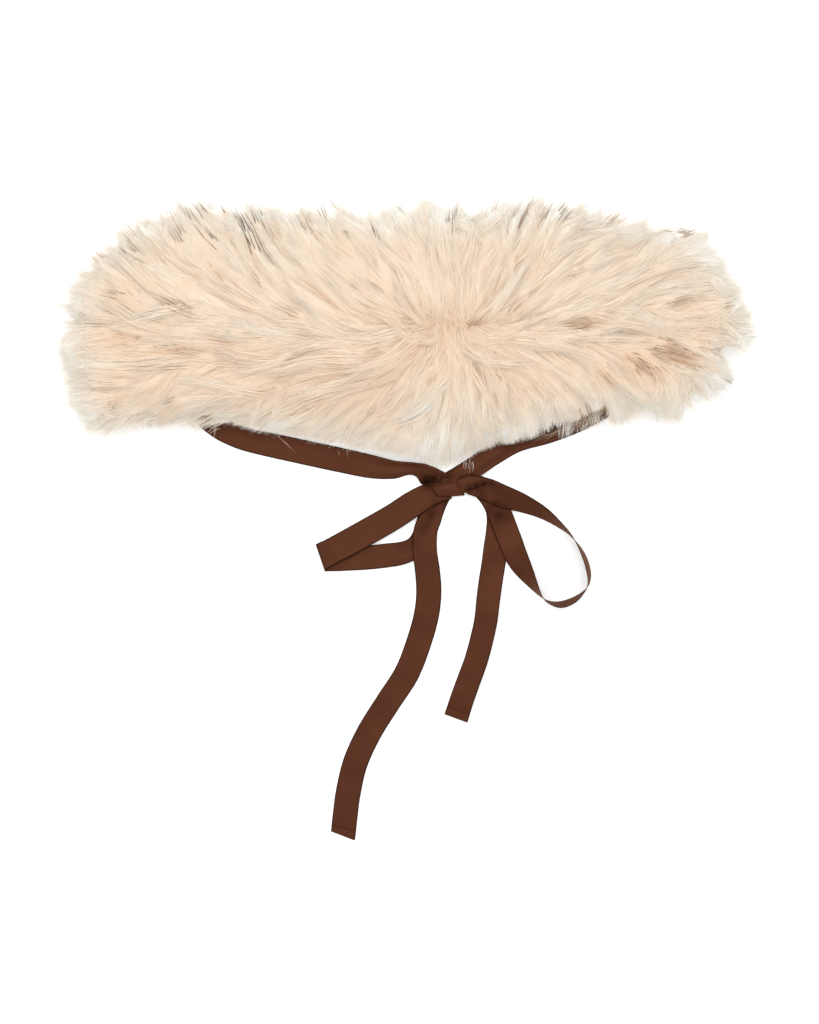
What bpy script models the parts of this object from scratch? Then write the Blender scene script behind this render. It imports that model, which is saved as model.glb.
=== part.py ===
# Fur collar wrap with two ribbon ties, tied in a bow and laid flat, fur side up.
# Blender 4.5, metres, +Z up. The tables are in millimetres and MM turns them into metres.
# The origin is on the collar's underside, midway along the band. +X runs along the band, +Y points
# from the bow to the far edge of the fur, and what the collar lies on is z = 0.

import math
from collections import namedtuple

import bpy
import numpy as np

MM = 0.001

# ---------------------------------------------------------------- driving sizes, in millimetres
CLEARANCE = 0.3           # between pieces that touch
RIBBON_HALF_WIDTH = 10.0  # the ties are cut from 20 mm satin ribbon
RIBBON_THICK = 1.0
RIBBON_STEP = 6.0         # longest step between two rings of a ribbon
HEM_LENGTH = 6.0          # turned-over end of each tail
HEM_THICK = 1.9
SEAM_X = 41.0             # the two fur pieces meet here, at the collar's centre back
PILE_OVERHANG = 38.0      # how far the fur stands out past the edge of its backing
PILE_TIP_HEIGHT = 7.0     # height of the fur's free tips above the table
PRESSED_TIP_HEIGHT = 2.6  # and of the tips a ribbon presses down
TIP_REACH = 15.0          # how far the longest locks reach past the gaps between them
NAP_LEAN = 34.0           # how far the nap runs along the collar before it turns outwards
PARTING_DEPTH = 1.5       # dip of the fur along the parting
PARTING_WIDTH = 0.09      # and its width, as a share of the way from the parting to the edge
NAP_LINES = 132           # lines of nap round the free edge of each fur piece
LOCK_LINES = (2, 5)       # a lock of fur is this many lines wide, the upper number left out
LOCK_SEED = 11

# A section runs from the parting to the tips at the far edge and at the near edge. near_tip is the
# height of the near tips, which are pressed down where a ribbon crosses them.
Section = namedtuple("Section", "part_x part_y far_x far_y near_x near_y crown near_tip")
LEFT_SECTIONS = [
    Section(41, 2, 41, 113, 41, -105, 38, 2.6),
    Section(30, 1, -14, 108, 6, -102, 42, 2.6),
    Section(12, -1, -76, 111, -52, -95, 45, 2.6),
    Section(-12, -4, -142, 113, -106, -85, 46, 2.6),
    Section(-42, -7, -202, 106, -160, -78, 46, 4.5),
    Section(-78, -10, -248, 85, -214, -86, 45, 7.0),
    Section(-110, -13, -278, 54, -260, -87, 44, 7.0),
    Section(-135, -15, -291, 21, -286, -58, 43, 7.0),
    Section(-150, -15, -294, -18, -294, -18, 42, 7.0),
]
RIGHT_SECTIONS = [
    Section(41, 2, 41, 113, 41, -105, 38, 2.6),
    Section(50, 4, 92, 115, 66, -96, 42, 3.4),
    Section(66, 6, 148, 111, 103, -89, 45, 6.0),
    Section(88, 6, 198, 99, 143, -83, 46, 7.0),
    Section(112, 4, 239, 81, 182, -73, 45, 7.0),
    Section(134, 2, 267, 59, 222, -76, 44, 7.0),
    Section(150, 0, 283, 35, 257, -50, 43, 7.0),
    Section(160, -2, 290, 13, 278, -29, 42, 7.0),
    Section(165, -3, 292, -8, 292, -8, 42, 7.0),
]

# Rows of locks from the parting outwards, each lying over the next like shingles. end is where
# the locks of a row stop, as a share of the way to the tips, reach how much further a lock's
# middle runs than its sides, rise how far its middle stands over the gap beside it, and drop how
# far the row starts under the one before it.
LockRow = namedtuple("LockRow", "end reach rise drop")
LOCK_ROWS = [
    LockRow(0.25, 0.11, 1.8, 0.0),
    LockRow(0.50, 0.13, 2.4, 1.6),
    LockRow(0.75, 0.13, 2.4, 1.6),
    LockRow(1.00, 0.00, 2.4, 1.6),
]
# Rings of a row of locks: share of the way from the row above, and height over the smooth crown.
LockRing = namedtuple("LockRing", "share level")
LOCK_RINGS = [LockRing(0.0, 0.0), LockRing(0.35, 0.2), LockRing(0.75, 0.9), LockRing(1.0, 0.5)]
EDGE_RINGS = [
    LockRing(0.0, 0.0),
    LockRing(0.3, 0.2),
    LockRing(0.6, 0.6),
    LockRing(0.85, 0.4),
    LockRing(1.0, 0.0),
]
ROW_WAVE = 0.035          # how far the rows of locks wander, as a share of the way
ROW_STEP = 0.016          # share of the way taken by the drop from one row of locks to the next

# A ribbon row: the middle of the ribbon, the height of its lower face above the table, the heading
# of the way across it in degrees, half its width and its tilt about its own length in degrees.
Row = namedtuple("Row", "x y lift across half tilt")
TIE_LEFT = [
    Row(-173, -70.5, 0.0, 48, 10, 0),
    Row(-164, -77.5, 0.0, 58, 10, 0),
    Row(-151, -83, 0.0, 68, 10, 0),
    Row(-131, -88.5, 0.0, 76, 10, 0),
    Row(-89, -97, 0.0, 78.5, 10, 0),
    Row(-51, -105, 0.0, 78, 10, 0),
    Row(-29, -109.5, 0.0, 80, 9.6, 4),
    Row(-11, -112.5, 0.0, 88, 8.2, 14),
    Row(4, -112, 0.4, 86, 6.6, 20),
    Row(14, -114, 0.5, 70, 6.4, 12),
    Row(24, -117.5, 0.7, 58, 6.6, 3),
    Row(33, -123, 0.9, 52, 6.6, 0),
]
TIE_RIGHT = [
    Row(170, -55, 0.0, 124, 10, 0),
    Row(157, -63, 0.0, 120, 10, 0),
    Row(137, -73, 0.0, 114, 10, 0),
    Row(115, -81, 0.0, 110, 10, 0),
    Row(91, -90, 0.0, 113, 10, 0),
    Row(71, -101, 0.6, 121, 10, 0),
    Row(57, -110, 1.6, 122, 9, 0),
    Row(45, -116.5, 2.3, 118, 8, 0),
    Row(35, -121.5, 2.5, 116, 7, 0),
]
LOOP_LEFT = [
    Row(34, -129, 2.6, 116, 8, 0),
    Row(21, -132, 3.2, 120, 9.2, 0),
    Row(7, -141, 3.9, 125, 10, 0),
    Row(-10, -152.5, 3.6, 123, 10, 0),
    Row(-30, -164, 3.2, 121, 10, 0),
    Row(-50, -175, 2.9, 117, 10, 0),
    Row(-62.5, -181, 2.6, 112, 10.4, 0),
    Row(-69.5, -184.6, 2.2, 109.5, 11, 0),
    Row(-72, -186, 1.3, 109, 11.2, 0),
    Row(-69.5, -186.4, 0.3, 108, 11, 0),
    Row(-60, -186.6, 0.0, 102, 10.4, 0),
    Row(-47.5, -186.3, 0.0, 96, 10, 0),
    Row(-31, -185.3, 0.0, 93.5, 10, 0),
    Row(-16, -183.6, 0.0, 95, 10, 0),
    Row(-5, -182, 0.0, 98, 9.6, 0),
    Row(4, -178.5, 0.0, 108, 9.2, 0),
    Row(11, -171.5, 0.0, 128, 9.6, 0),
    Row(15.5, -162, 0.0, 143, 10, 0),
    Row(19, -152, 0.0, 151, 10, 0),
    Row(22.5, -142.5, 0.0, 154, 9.6, 0),
    Row(27, -134, 0.0, 152, 9, 0),
    Row(33, -127, 0.0, 148, 8, 0),
]
LOOP_RIGHT = [
    Row(51, -124.5, 4.0, 78, 8, 0),
    Row(66, -128.5, 3.6, 74, 9.3, 2),
    Row(81.5, -134.5, 2.3, 69, 10, 20),
    Row(97.5, -140, 1.2, 65, 10, 43),
    Row(114, -148, 0.4, 55, 10, 62),
    Row(127.5, -158.5, 0.0, 46, 10, 79),
    Row(136.5, -168, 0.0, 37, 10, 90),
    Row(145, -182, 0.0, 22, 10, 102),
    Row(149.8, -196.5, 0.0, 6, 10, 104),
    Row(150.3, -207, 0.0, -12, 10, 98),
    Row(146.3, -214, 0.0, -38, 10, 90),
    Row(138, -221, 0.0, -62, 10, 80),
    Row(128, -224.5, 0.0, -86, 10, 77),
    Row(119.8, -223, 0.0, -110, 10, 83),
    Row(113, -218, 0.0, -128, 10, 91),
    Row(104.5, -206, 0.5, -143, 10, 114),
    Row(93, -187, 1.3, -152, 10, 152),
    Row(84.5, -167, 1.4, -158, 10, 176),
    Row(78, -151, 1.4, -158, 10, 180),
    Row(71, -137, 1.4, -152, 9.5, 180),
    Row(61, -126, 1.4, -140, 8.5, 180),
]
TAIL_LEFT = [
    Row(31, -131, 1.45, -24, 8, 0),
    Row(26.5, -140, 1.45, -25, 9.4, 0),
    Row(20.5, -152, 1.45, -24, 10, 0),
    Row(15.5, -163, 1.45, -10, 10, 0),
    Row(14.5, -179, 1.45, 0, 10, 0),
    Row(16.5, -196, 0.6, 5, 10, 0),
    Row(17.5, -212.5, 0.0, 0, 10, 0),
    Row(16, -231, 0.0, -9, 10, 0),
    Row(10.5, -252.5, 0.0, -20, 10, 0),
    Row(0, -281, 0.0, -30, 10, 0),
    Row(-16, -306, 0.0, -34, 10, 0),
    Row(-31.5, -331, 0.0, -32, 10, 0),
    Row(-43, -356, 0.0, -22, 10, 0),
    Row(-49, -381, 0.0, -10, 10, 0),
    Row(-51.5, -400, 0.0, -9, 10, 0),
    Row(-53.3, -416.7, 0.0, -21, 10.4, 0),
]
TAIL_RIGHT = [
    Row(62, -128, 0.0, -40, 8, 0),
    Row(70, -138, 0.0, -32, 9.4, 0),
    Row(76, -151.5, 0.0, -10, 10, 0),
    Row(75.5, -164, 0.0, -7, 10, 0),
    Row(73.5, -177, 0.0, -8, 10, 0),
    Row(71.5, -191, 0.0, -8, 10, 0),
    Row(69, -205, 0.0, -8, 10, 5),
    Row(66.7, -221, 0.0, -9, 10, 12),
    Row(64, -238, 0.0, -12, 10, 17),
    Row(60, -254, 0.0, -15, 10, 18),
    Row(55.3, -271, 0.0, -17, 10, 16),
    Row(49.5, -288, 0.0, -20, 10, 12),
    Row(44.8, -303, 0.0, -22, 10, 6),
    Row(40.4, -318.8, 0.0, -20, 10, 2),
]
# The band over the knot follows the knot's surface, so its lift is counted from there.
KNOT_BAND = [
    Row(20, -128.5, 0.3, 104, 6.6, 0),
    Row(27, -129, 0.3, 98, 7.2, 0),
    Row(36, -127.8, 0.3, 92, 7.0, 0),
    Row(45, -125.6, 0.3, 100, 6.6, 0),
    Row(52, -123.6, 0.5, 108, 6.6, 0),
    Row(60, -121.8, 1.0, 98, 4.8, 0),
    Row(68, -121.6, 2.0, 82, 3.0, 0),
    Row(76, -123.6, 3.0, 66, 1.4, 0),
]

# The knot's hidden layers: one rounded solid with a fold along it.
KNOT_CENTRE = (38.5, -125.5)
KNOT_HALF_LENGTH = 18.0
KNOT_HALF_WIDTH = 9.0
KNOT_HEIGHT = 6.4
KNOT_HEADING = 8.0        # degrees from +X
KNOT_SIDES = 40
KNOT_RINGS = 7
KNOT_FOLDS = 5            # folds that show round its edge
KNOT_FOLD_DEPTH = 0.05    # as a share of its radius
BAND_EDGE_LIFT = 5.4      # lowest height of the band past the knot's ends


# ---------------------------------------------------------------------------- curves and meshes
def interpolate(rows, at):
    """The rows' columns at fractional row numbers, on a smooth curve through every row."""
    table = np.array(rows, float)
    table = np.vstack([2 * table[0] - table[1], table, 2 * table[-1] - table[-2]])
    low = np.clip(np.floor(at).astype(int), 0, len(rows) - 2)
    t = (at - low)[:, None]
    before, start, end, after = (table[low + k] for k in range(4))
    return 0.5 * (
        2 * start
        + (end - before) * t
        + (2 * before - 5 * start + 4 * end - after) * t**2
        + (3 * start - before - 3 * end + after) * t**3
    )


def add_object(name, points, faces, material):
    """A closed mesh object from points in millimetres, with its faces turned outwards."""
    mesh = bpy.data.meshes.new(name)
    mesh.from_pydata([tuple(p) for p in np.asarray(points) * MM], [], faces)
    mesh.validate()
    mesh.materials.append(material)
    obj = bpy.data.objects.new(name, mesh)
    bpy.context.collection.objects.link(obj)
    return obj


def add_material(name, color, roughness, sheen):
    material = bpy.data.materials.new(name)
    material.use_nodes = True
    shader = material.node_tree.nodes["Principled BSDF"]
    shader.inputs["Base Color"].default_value = (*color, 1.0)
    shader.inputs["Roughness"].default_value = roughness
    shader.inputs["Metallic"].default_value = 0.0
    shader.inputs["Sheen Weight"].default_value = sheen
    material.diffuse_color = (*color, 1.0)
    return material


# ------------------------------------------------------------------------------------------ fur
def flow_lines(sections, side):
    """Start, control and tip of each line of nap, in order round the free edge of a fur piece.

    side is -1 for the piece left of the seam and 1 for the right one. Line 0 runs along the seam
    to the far edge and the last line along the seam to the near edge. A line and the one opposite
    start at the same point of the parting. Also returns each line's crown and tip heights.
    """
    order = np.arange(NAP_LINES + 1)
    share = 1 - np.abs(2 * order / NAP_LINES - 1)
    values = interpolate(sections, share * (len(sections) - 1))
    start = values[:, 0:2]
    far = order <= NAP_LINES // 2
    tip = np.where(far[:, None], values[:, 2:4], values[:, 4:6])
    control = start + 0.4 * (tip - start)
    control[:, 0] += NAP_LEAN * np.sin(math.pi * share) * side
    tip_height = np.where(far, PILE_TIP_HEIGHT, values[:, 7])
    return start, control, tip, values[:, 6], tip_height


def along_line(start, control, tip, share):
    share = share[:, None]
    return (1 - share) ** 2 * start + 2 * share * (1 - share) * control + share**2 * tip


def crown_height(share, crown, tip_height):
    """Height of the smooth fur over the table, from the parting (0) to the tips (1)."""
    body = np.clip(1 - share**2.2, 0, None) ** 0.62
    dip = PARTING_DEPTH * np.exp(-((share / PARTING_WIDTH) ** 2))
    return tip_height + (crown - tip_height) * body - dip


def draw_locks(draw):
    """Splits the nap lines into locks: how near each line is to its lock's middle (1) or to a gap
    (0), the line at that middle, and how long and how high the lock is beside the others."""
    bulge, centre = np.zeros(NAP_LINES + 1), np.zeros(NAP_LINES + 1, int)
    length, height = np.ones(NAP_LINES + 1), np.ones(NAP_LINES + 1)
    first = 0
    while first < NAP_LINES:
        last = min(first + int(draw.integers(*LOCK_LINES)), NAP_LINES)
        if last == NAP_LINES - 1:
            last = NAP_LINES
        inside = np.arange(first, last + 1)
        across = (2 * inside - first - last) / (last - first)
        bulge[inside] = 1 - across**2
        centre[inside] = (first + last) // 2
        length[inside] = draw.uniform(0.35, 1.15)
        height[inside] = draw.uniform(0.5, 1.2)
        first = last
    return bulge, centre, length, height


def build_fur(name, sections, side, material):
    """One fur piece: a crowned body of locks over a flat underside, with a flat face at the seam."""
    start, control, tip, crown, tip_height = flow_lines(sections, side)
    draw = np.random.default_rng(LOCK_SEED + side)
    lines = NAP_LINES + 1
    span = np.linalg.norm(tip - start, axis=1)
    free = np.clip(
        (tip_height - PRESSED_TIP_HEIGHT) / (PILE_TIP_HEIGHT - PRESSED_TIP_HEIGHT), 0.2, 1
    )

    rings = [np.column_stack([start, crown_height(np.zeros(lines), crown, tip_height)])]
    front = np.full(lines, 0.03)
    pull = np.zeros((lines, 2))
    for row in LOCK_ROWS:
        bulge, centre, length, height = draw_locks(draw)
        back = front + ROW_STEP
        if row is LOCK_ROWS[-1]:
            front = 1 - free * TIP_REACH / span * (1 - bulge * length)
            pull = 0.3 * (tip[centre] - tip) * np.minimum(bulge, 0.6)[:, None]
            pull[[0, -1]] = 0
            shape = EDGE_RINGS
        else:
            wave = np.arange(lines) / lines * 2 * math.pi
            wander = sum(np.sin(k * wave + draw.uniform(0, 6)) for k in (3, 7, 11))
            front = row.end + row.reach * (bulge * length - 0.5) + ROW_WAVE * wander
            shape = LOCK_RINGS
        front[[0, -1]] = row.end
        for ring in shape:
            share = back + (front - back) * ring.share
            level = ring.level + row.rise * height * bulge * min(ring.share * 2, 1)
            level = level - row.drop * max(1 - 2 * ring.share, 0)
            if row is LOCK_ROWS[-1]:
                level = level * np.clip((1 - ring.share) * 2.5, 0, 1)
            plan = along_line(start, control, tip, share)
            if row is LOCK_ROWS[-1]:
                plan = plan + pull * ring.share**2
            rise = crown_height(share, crown, tip_height)
            if ring is EDGE_RINGS[-1]:
                rise = tip_height
            rings.append(np.column_stack([plan, rise + level]))
    plan = along_line(start, control, tip, front - PILE_OVERHANG / span)
    rings.append(np.column_stack([plan, np.zeros(lines)]))

    seam = SEAM_X + side * CLEARANCE / 2
    for ring in rings:
        ring[:, 0] = np.minimum(ring[:, 0], seam) if side < 0 else np.maximum(ring[:, 0], seam)
        ring[[0, -1], 0] = seam

    parting = rings[0][: lines // 2 + 1]
    points = list(parting)
    index = [[min(i, lines - 1 - i) for i in range(lines)]]
    for ring in rings[1:]:
        index.append(list(range(len(points), len(points) + lines)))
        points.extend(ring)

    faces = []
    for inner, outer in zip(index, index[1:]):
        for i in range(lines - 1):
            corners = [inner[i], outer[i], outer[i + 1], inner[i + 1]]
            faces.append(tuple(dict.fromkeys(corners)))
    faces.append(tuple(reversed(index[-1])))
    seam_loop = [ring[0] for ring in index] + [ring[-1] for ring in reversed(index[1:])]
    faces.append(tuple(reversed(seam_loop)))
    if side > 0:
        faces = [tuple(reversed(face)) for face in faces]
    return add_object(name, points, faces, material)


# -------------------------------------------------------------------------------------- ribbons
def resample(rows):
    """The ribbon's rows at steps no longer than RIBBON_STEP."""
    at = [0.0]
    for i in range(len(rows) - 1):
        gap = math.dist((rows[i].x, rows[i].y), (rows[i + 1].x, rows[i + 1].y))
        steps = max(1, math.ceil(gap / RIBBON_STEP))
        at.extend(i + (k + 1) / steps for k in range(steps))
    return interpolate(rows, np.array(at))


def ribbon_path(rows, ground=None):
    """Middle points, half-width vectors and face normals along a ribbon."""
    x, y, lift, across, half, tilt = resample(rows).T
    across, tilt = np.radians(across), np.radians(tilt)
    rise = half * np.abs(np.sin(tilt)) + RIBBON_THICK / 2 * np.abs(np.cos(tilt))
    base = np.maximum(lift, 0)
    if ground is not None:
        sides = [half * k for k in (-1, -0.6, -0.3, 0, 0.3, 0.6, 1)]
        under = [ground(x + s * np.cos(across), y + s * np.sin(across)) for s in sides]
        base = base + np.max(under, axis=0)
    middle = np.column_stack([x, y, base + rise])
    reach = half[:, None] * np.column_stack(
        [np.cos(tilt) * np.cos(across), np.cos(tilt) * np.sin(across), np.sin(tilt)]
    )
    forward = np.gradient(middle, axis=0)
    normal = np.cross(forward, reach)
    return middle, reach, normal / np.linalg.norm(normal, axis=1, keepdims=True)


def build_ribbon(name, rows, material, hem=False, ground=None):
    """A ribbon as a thin wall with square edges. hem thickens its last few millimetres."""
    middle, reach, normal = ribbon_path(rows, ground)
    thick = np.full(len(middle), RIBBON_THICK)
    if hem:
        step = np.linalg.norm(np.diff(middle, axis=0), axis=1)
        left = np.concatenate([np.cumsum(step[::-1])[::-1], [0]])
        first = int(np.argmax(left < HEM_LENGTH))
        turn = middle[-1] + (middle[first - 1] - middle[-1]) * HEM_LENGTH / left[first - 1]
        middle = np.vstack([middle[:first], turn, turn, middle[-1]])
        reach = np.vstack([reach[:first], reach[-1], reach[-1], reach[-1]])
        normal = np.vstack([normal[:first], normal[-1], normal[-1], normal[-1]])
        thick = np.concatenate([thick[:first], [RIBBON_THICK, HEM_THICK, HEM_THICK]])
        middle[-2] += (middle[-1] - middle[-3]) * 0.05
        middle[-2:, 2] += (HEM_THICK - RIBBON_THICK) / 2
    rise = normal * thick[:, None] / 2
    corners = [middle + reach + rise, middle - reach + rise]
    corners += [middle - reach - rise, middle + reach - rise]
    points = np.stack(corners, axis=1).reshape(-1, 3)
    faces = [(3, 2, 1, 0)]
    for i in range(len(middle) - 1):
        for k in range(4):
            a, b = 4 * i + k, 4 * i + (k + 1) % 4
            faces.append((a, b, b + 4, a + 4))
    last = 4 * (len(middle) - 1)
    faces.append((last, last + 1, last + 2, last + 3))
    return add_object(name, points, faces, material)


# ----------------------------------------------------------------------------------------- knot
def knot_local(x, y):
    """Position within the knot, where the edge of its plan lies at radius 1, and the angle there."""
    turn = math.radians(KNOT_HEADING)
    dx, dy = x - KNOT_CENTRE[0], y - KNOT_CENTRE[1]
    along = (dx * math.cos(turn) + dy * math.sin(turn)) / KNOT_HALF_LENGTH
    aside = (dy * math.cos(turn) - dx * math.sin(turn)) / KNOT_HALF_WIDTH
    return np.hypot(along, aside), np.arctan2(aside, along)


def knot_surface(x, y):
    """Height of what the band lies on: the knot, and the loops' roots past its ends."""
    radius, _ = knot_local(x, y)
    dome = KNOT_HEIGHT * np.clip(1 - radius**2.6, 0, None) ** 0.5
    return np.maximum(dome + CLEARANCE, BAND_EDGE_LIFT)


def build_knot(name, grow, material):
    """The knot's rounded solid, its outline and top moved out by grow."""
    turn = math.radians(KNOT_HEADING)
    points, rings = [], []
    for k in range(KNOT_RINGS):
        level = k / KNOT_RINGS
        radius = (1 - level**2.2) ** (1 / 2.6)
        ring = []
        for j in range(KNOT_SIDES):
            angle = 2 * math.pi * j / KNOT_SIDES
            fold = 1 - KNOT_FOLD_DEPTH * (1 + math.cos(KNOT_FOLDS * angle)) / 2
            along = (KNOT_HALF_LENGTH * radius * fold + grow) * math.cos(angle)
            aside = (KNOT_HALF_WIDTH * radius * fold + grow) * math.sin(angle)
            x = KNOT_CENTRE[0] + along * math.cos(turn) - aside * math.sin(turn)
            y = KNOT_CENTRE[1] + along * math.sin(turn) + aside * math.cos(turn)
            ring.append(len(points))
            points.append((x, y, (KNOT_HEIGHT + grow) * level - (grow if k == 0 else 0)))
        rings.append(ring)
    faces = [tuple(reversed(rings[0]))]
    for lower, upper in zip(rings, rings[1:]):
        for j in range(KNOT_SIDES):
            n = (j + 1) % KNOT_SIDES
            faces.append((lower[j], lower[n], upper[n], upper[j]))
    top = len(points)
    points.append((*KNOT_CENTRE, KNOT_HEIGHT + grow))
    for j in range(KNOT_SIDES):
        faces.append((rings[-1][j], rings[-1][(j + 1) % KNOT_SIDES], top))
    return add_object(name, points, faces, material)


def end_at_knot(ribbon, cutter):
    """Ends a ribbon where it goes into the knot."""
    cut = ribbon.modifiers.new("into_knot", "BOOLEAN")
    cut.operation = "DIFFERENCE"
    cut.object = cutter


# ------------------------------------------------------------------------------------- the part
def build():
    for obj in list(bpy.data.objects):
        bpy.data.objects.remove(obj)
    fur = add_material("fur", (0.86, 0.74, 0.60), 0.85, 0.4)
    satin = add_material("satin_ribbon", (0.10, 0.036, 0.018), 0.42, 0.2)

    build_fur("fur_left", LEFT_SECTIONS, -1, fur)
    build_fur("fur_right", RIGHT_SECTIONS, 1, fur)

    build_knot("knot", 0.0, satin)
    cutter = build_knot("knot_cutter", CLEARANCE, satin)
    cutter.hide_render = True
    cutter.display_type = "WIRE"
    build_ribbon("knot_band", KNOT_BAND, satin, ground=knot_surface)
    for name, rows, hem in (
        ("tie_left", TIE_LEFT, False),
        ("tie_right", TIE_RIGHT, False),
        ("loop_left", LOOP_LEFT, False),
        ("loop_right", LOOP_RIGHT, False),
        ("tail_left", TAIL_LEFT, True),
        ("tail_right", TAIL_RIGHT, True),
    ):
        end_at_knot(build_ribbon(name, rows, satin, hem=hem), cutter)


build()
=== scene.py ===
import math

import bmesh
import bpy
import numpy as np
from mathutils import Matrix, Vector
from mathutils.bvhtree import BVHTree
from mathutils.kdtree import KDTree


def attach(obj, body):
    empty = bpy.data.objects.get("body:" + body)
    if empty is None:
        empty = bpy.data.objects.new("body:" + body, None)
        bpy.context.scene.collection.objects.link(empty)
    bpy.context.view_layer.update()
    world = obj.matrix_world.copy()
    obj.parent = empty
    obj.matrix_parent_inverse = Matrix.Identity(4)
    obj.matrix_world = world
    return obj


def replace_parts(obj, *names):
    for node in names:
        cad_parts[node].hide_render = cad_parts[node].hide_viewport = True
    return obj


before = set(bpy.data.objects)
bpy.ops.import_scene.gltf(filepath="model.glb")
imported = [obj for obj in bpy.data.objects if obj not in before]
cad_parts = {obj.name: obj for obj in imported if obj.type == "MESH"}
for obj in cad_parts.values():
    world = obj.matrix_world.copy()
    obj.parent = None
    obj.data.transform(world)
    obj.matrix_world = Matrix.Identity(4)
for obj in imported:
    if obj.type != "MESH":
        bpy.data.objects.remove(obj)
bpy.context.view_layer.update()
bpy.ops.object.select_all(action="DESELECT")

mm = 0.001  # the tables below are in millimetres


# camera straight above the collar, with a long lens
viewpoint = {"middle": (2.1, -147.5), "distance": 1900, "span": 853.3, "sensor": 24}


def placeCamera():
    data = bpy.data.cameras.new("camera")
    data.sensor_fit = "VERTICAL"
    data.sensor_height = viewpoint["sensor"]
    data.lens = viewpoint["sensor"] * viewpoint["distance"] / viewpoint["span"]
    camera = bpy.data.objects.new("camera", data)
    x, y = viewpoint["middle"]
    camera.location = (x * mm, y * mm, viewpoint["distance"] * mm)
    bpy.context.collection.objects.link(camera)
    bpy.context.scene.camera = camera


placeCamera()


# node helpers
def newMaterial(name, roughness, sheen=0.0, specular=0.5):
    material = bpy.data.materials.new(name)
    material.use_nodes = True
    shader = material.node_tree.nodes["Principled BSDF"]
    shader.inputs["Roughness"].default_value = roughness
    shader.inputs["Sheen Weight"].default_value = sheen
    shader.inputs["Specular IOR Level"].default_value = specular
    return material, material.node_tree, shader


def addNode(tree, kind, **settings):
    node = tree.nodes.new(kind)
    for key, value in settings.items():
        if key in node.inputs:
            node.inputs[key].default_value = value
        else:
            setattr(node, key, value)
    return node


def plug(tree, socket, value):
    # a link where value is another node's output, and a constant where it isn't
    if hasattr(value, "links"):
        tree.links.new(value, socket)
    elif socket.type == "RGBA":
        socket.default_value = (*value, 1)
    else:
        socket.default_value = value


def calc(tree, operation, first, second):
    node = tree.nodes.new("ShaderNodeMath")
    node.operation = operation
    for socket, value in zip(node.inputs, (first, second)):
        plug(tree, socket, value)
    return node.outputs[0]


def mixColors(tree, factor, first, second):
    node = tree.nodes.new("ShaderNodeMix")
    node.data_type = "RGBA"
    for number, value in ((0, factor), (6, first), (7, second)):
        plug(tree, node.inputs[number], value)
    return node.outputs[2]


def separated(tree, output):
    parts = tree.nodes.new("ShaderNodeSeparateXYZ")
    tree.links.new(output, parts.inputs[0])
    return parts.outputs


def addBump(tree, shader, height, strength, distance):
    bump = addNode(tree, "ShaderNodeBump", Strength=strength, Distance=distance)
    tree.links.new(height, bump.inputs["Height"])
    tree.links.new(bump.outputs[0], shader.inputs["Normal"])


def colorRamp(tree, factor, stops):
    ramp = tree.nodes.new("ShaderNodeValToRGB")
    while len(ramp.color_ramp.elements) < len(stops):
        ramp.color_ramp.elements.new(0.5)
    for element, (place, color) in zip(ramp.color_ramp.elements, stops):
        element.position = place
        element.color = (*color, 1)
    tree.links.new(factor, ramp.inputs[0])
    return ramp.outputs[0]


# satin ribbon: warp threads along it, a firm woven edge darkened with painted shade, a soft shine, and
# painted shade where the ribbons lie together
satinLook = {
    "color": (0.094, 0.0325, 0.0162),
    "shade": (0.056, 0.0187, 0.0103),
    # the woven edge's colour, darkened further as painted shade along the ribbon's edge
    "edge": (0.024, 0.008, 0.004),
    # colour of the painted shade where the ribbons lie together
    "paintedShade": (0.018, 0.0055, 0.003),
    "gloss": (1.0, 0.62, 0.42),
    "metallic": 0.3,
    "roughness": 0.42,
    "specular": 0.02,
    "anisotropic": 0.5,
    "threads": (3.0, 0.06, 1),    # streaks per mm across and along
    "cloud": 0.045,
    "blend": 0.6,        # how much of the threads and of the cloud shows in the colour
    "ribPitch": 0.28,    # mm
    "ribs": 0.35,
    "bump": 0.18,
    "edgeWidth": 0.7,    # mm
}
halfRibbon = 10.0    # half the width of the cut ribbon, mm

# painted shade where the ribbons lie on and against each other around the knot, darkening their colour: (x,
# y), radius, how deep
paintedShadeSpots = [
    (17.5, -122, 6.0, 1.5), (22, -120, 4.5, 1.2), (28, -119, 4, 0.5), (36, -118, 5, 0.45),
    (44, -117.5, 4, 0.3), (52, -128.5, 4, 0.8), (58, -126, 4, 0.8), (64, -124.5, 4, 0.8),
    (70, -124, 4, 0.6), (62, -131, 9, 0.5), (74, -131, 9, 0.35), (83, -137, 7, 0.3), (30, -139.5, 4, 0.4),
    (24, -141, 4, 0.5), (20, -149, 5, 0.55), (16, -158, 6, 0.4), (12, -164, 6, 0.35), (74, -141, 5, 0.7),
    (81, -144, 5, 0.5), (72, -150, 8, 0.35), (8, -172, 6, 0.3), (-2, -176, 7, 0.2), (76, -150, 6, 0.75),
    (68, -146, 5, 0.7), (83, -151, 5, 0.5),
]


def markPaintedShade(mesh):
    # how deep the painted shade is at every point, as the mesh's own attribute
    points = np.array([v.co[:] for v in mesh.vertices]) / mm
    depth = np.zeros(len(points))
    for x, y, radius, amount in paintedShadeSpots:
        away = (points[:, 0] - x)**2 + (points[:, 1] - y)**2
        depth = np.maximum(depth, amount * np.exp(-away / radius**2))
    layer = mesh.attributes.new("paintedShade", "FLOAT", "POINT")
    layer.data.foreach_set("value", np.minimum(depth, 1).astype(np.float32))


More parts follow.
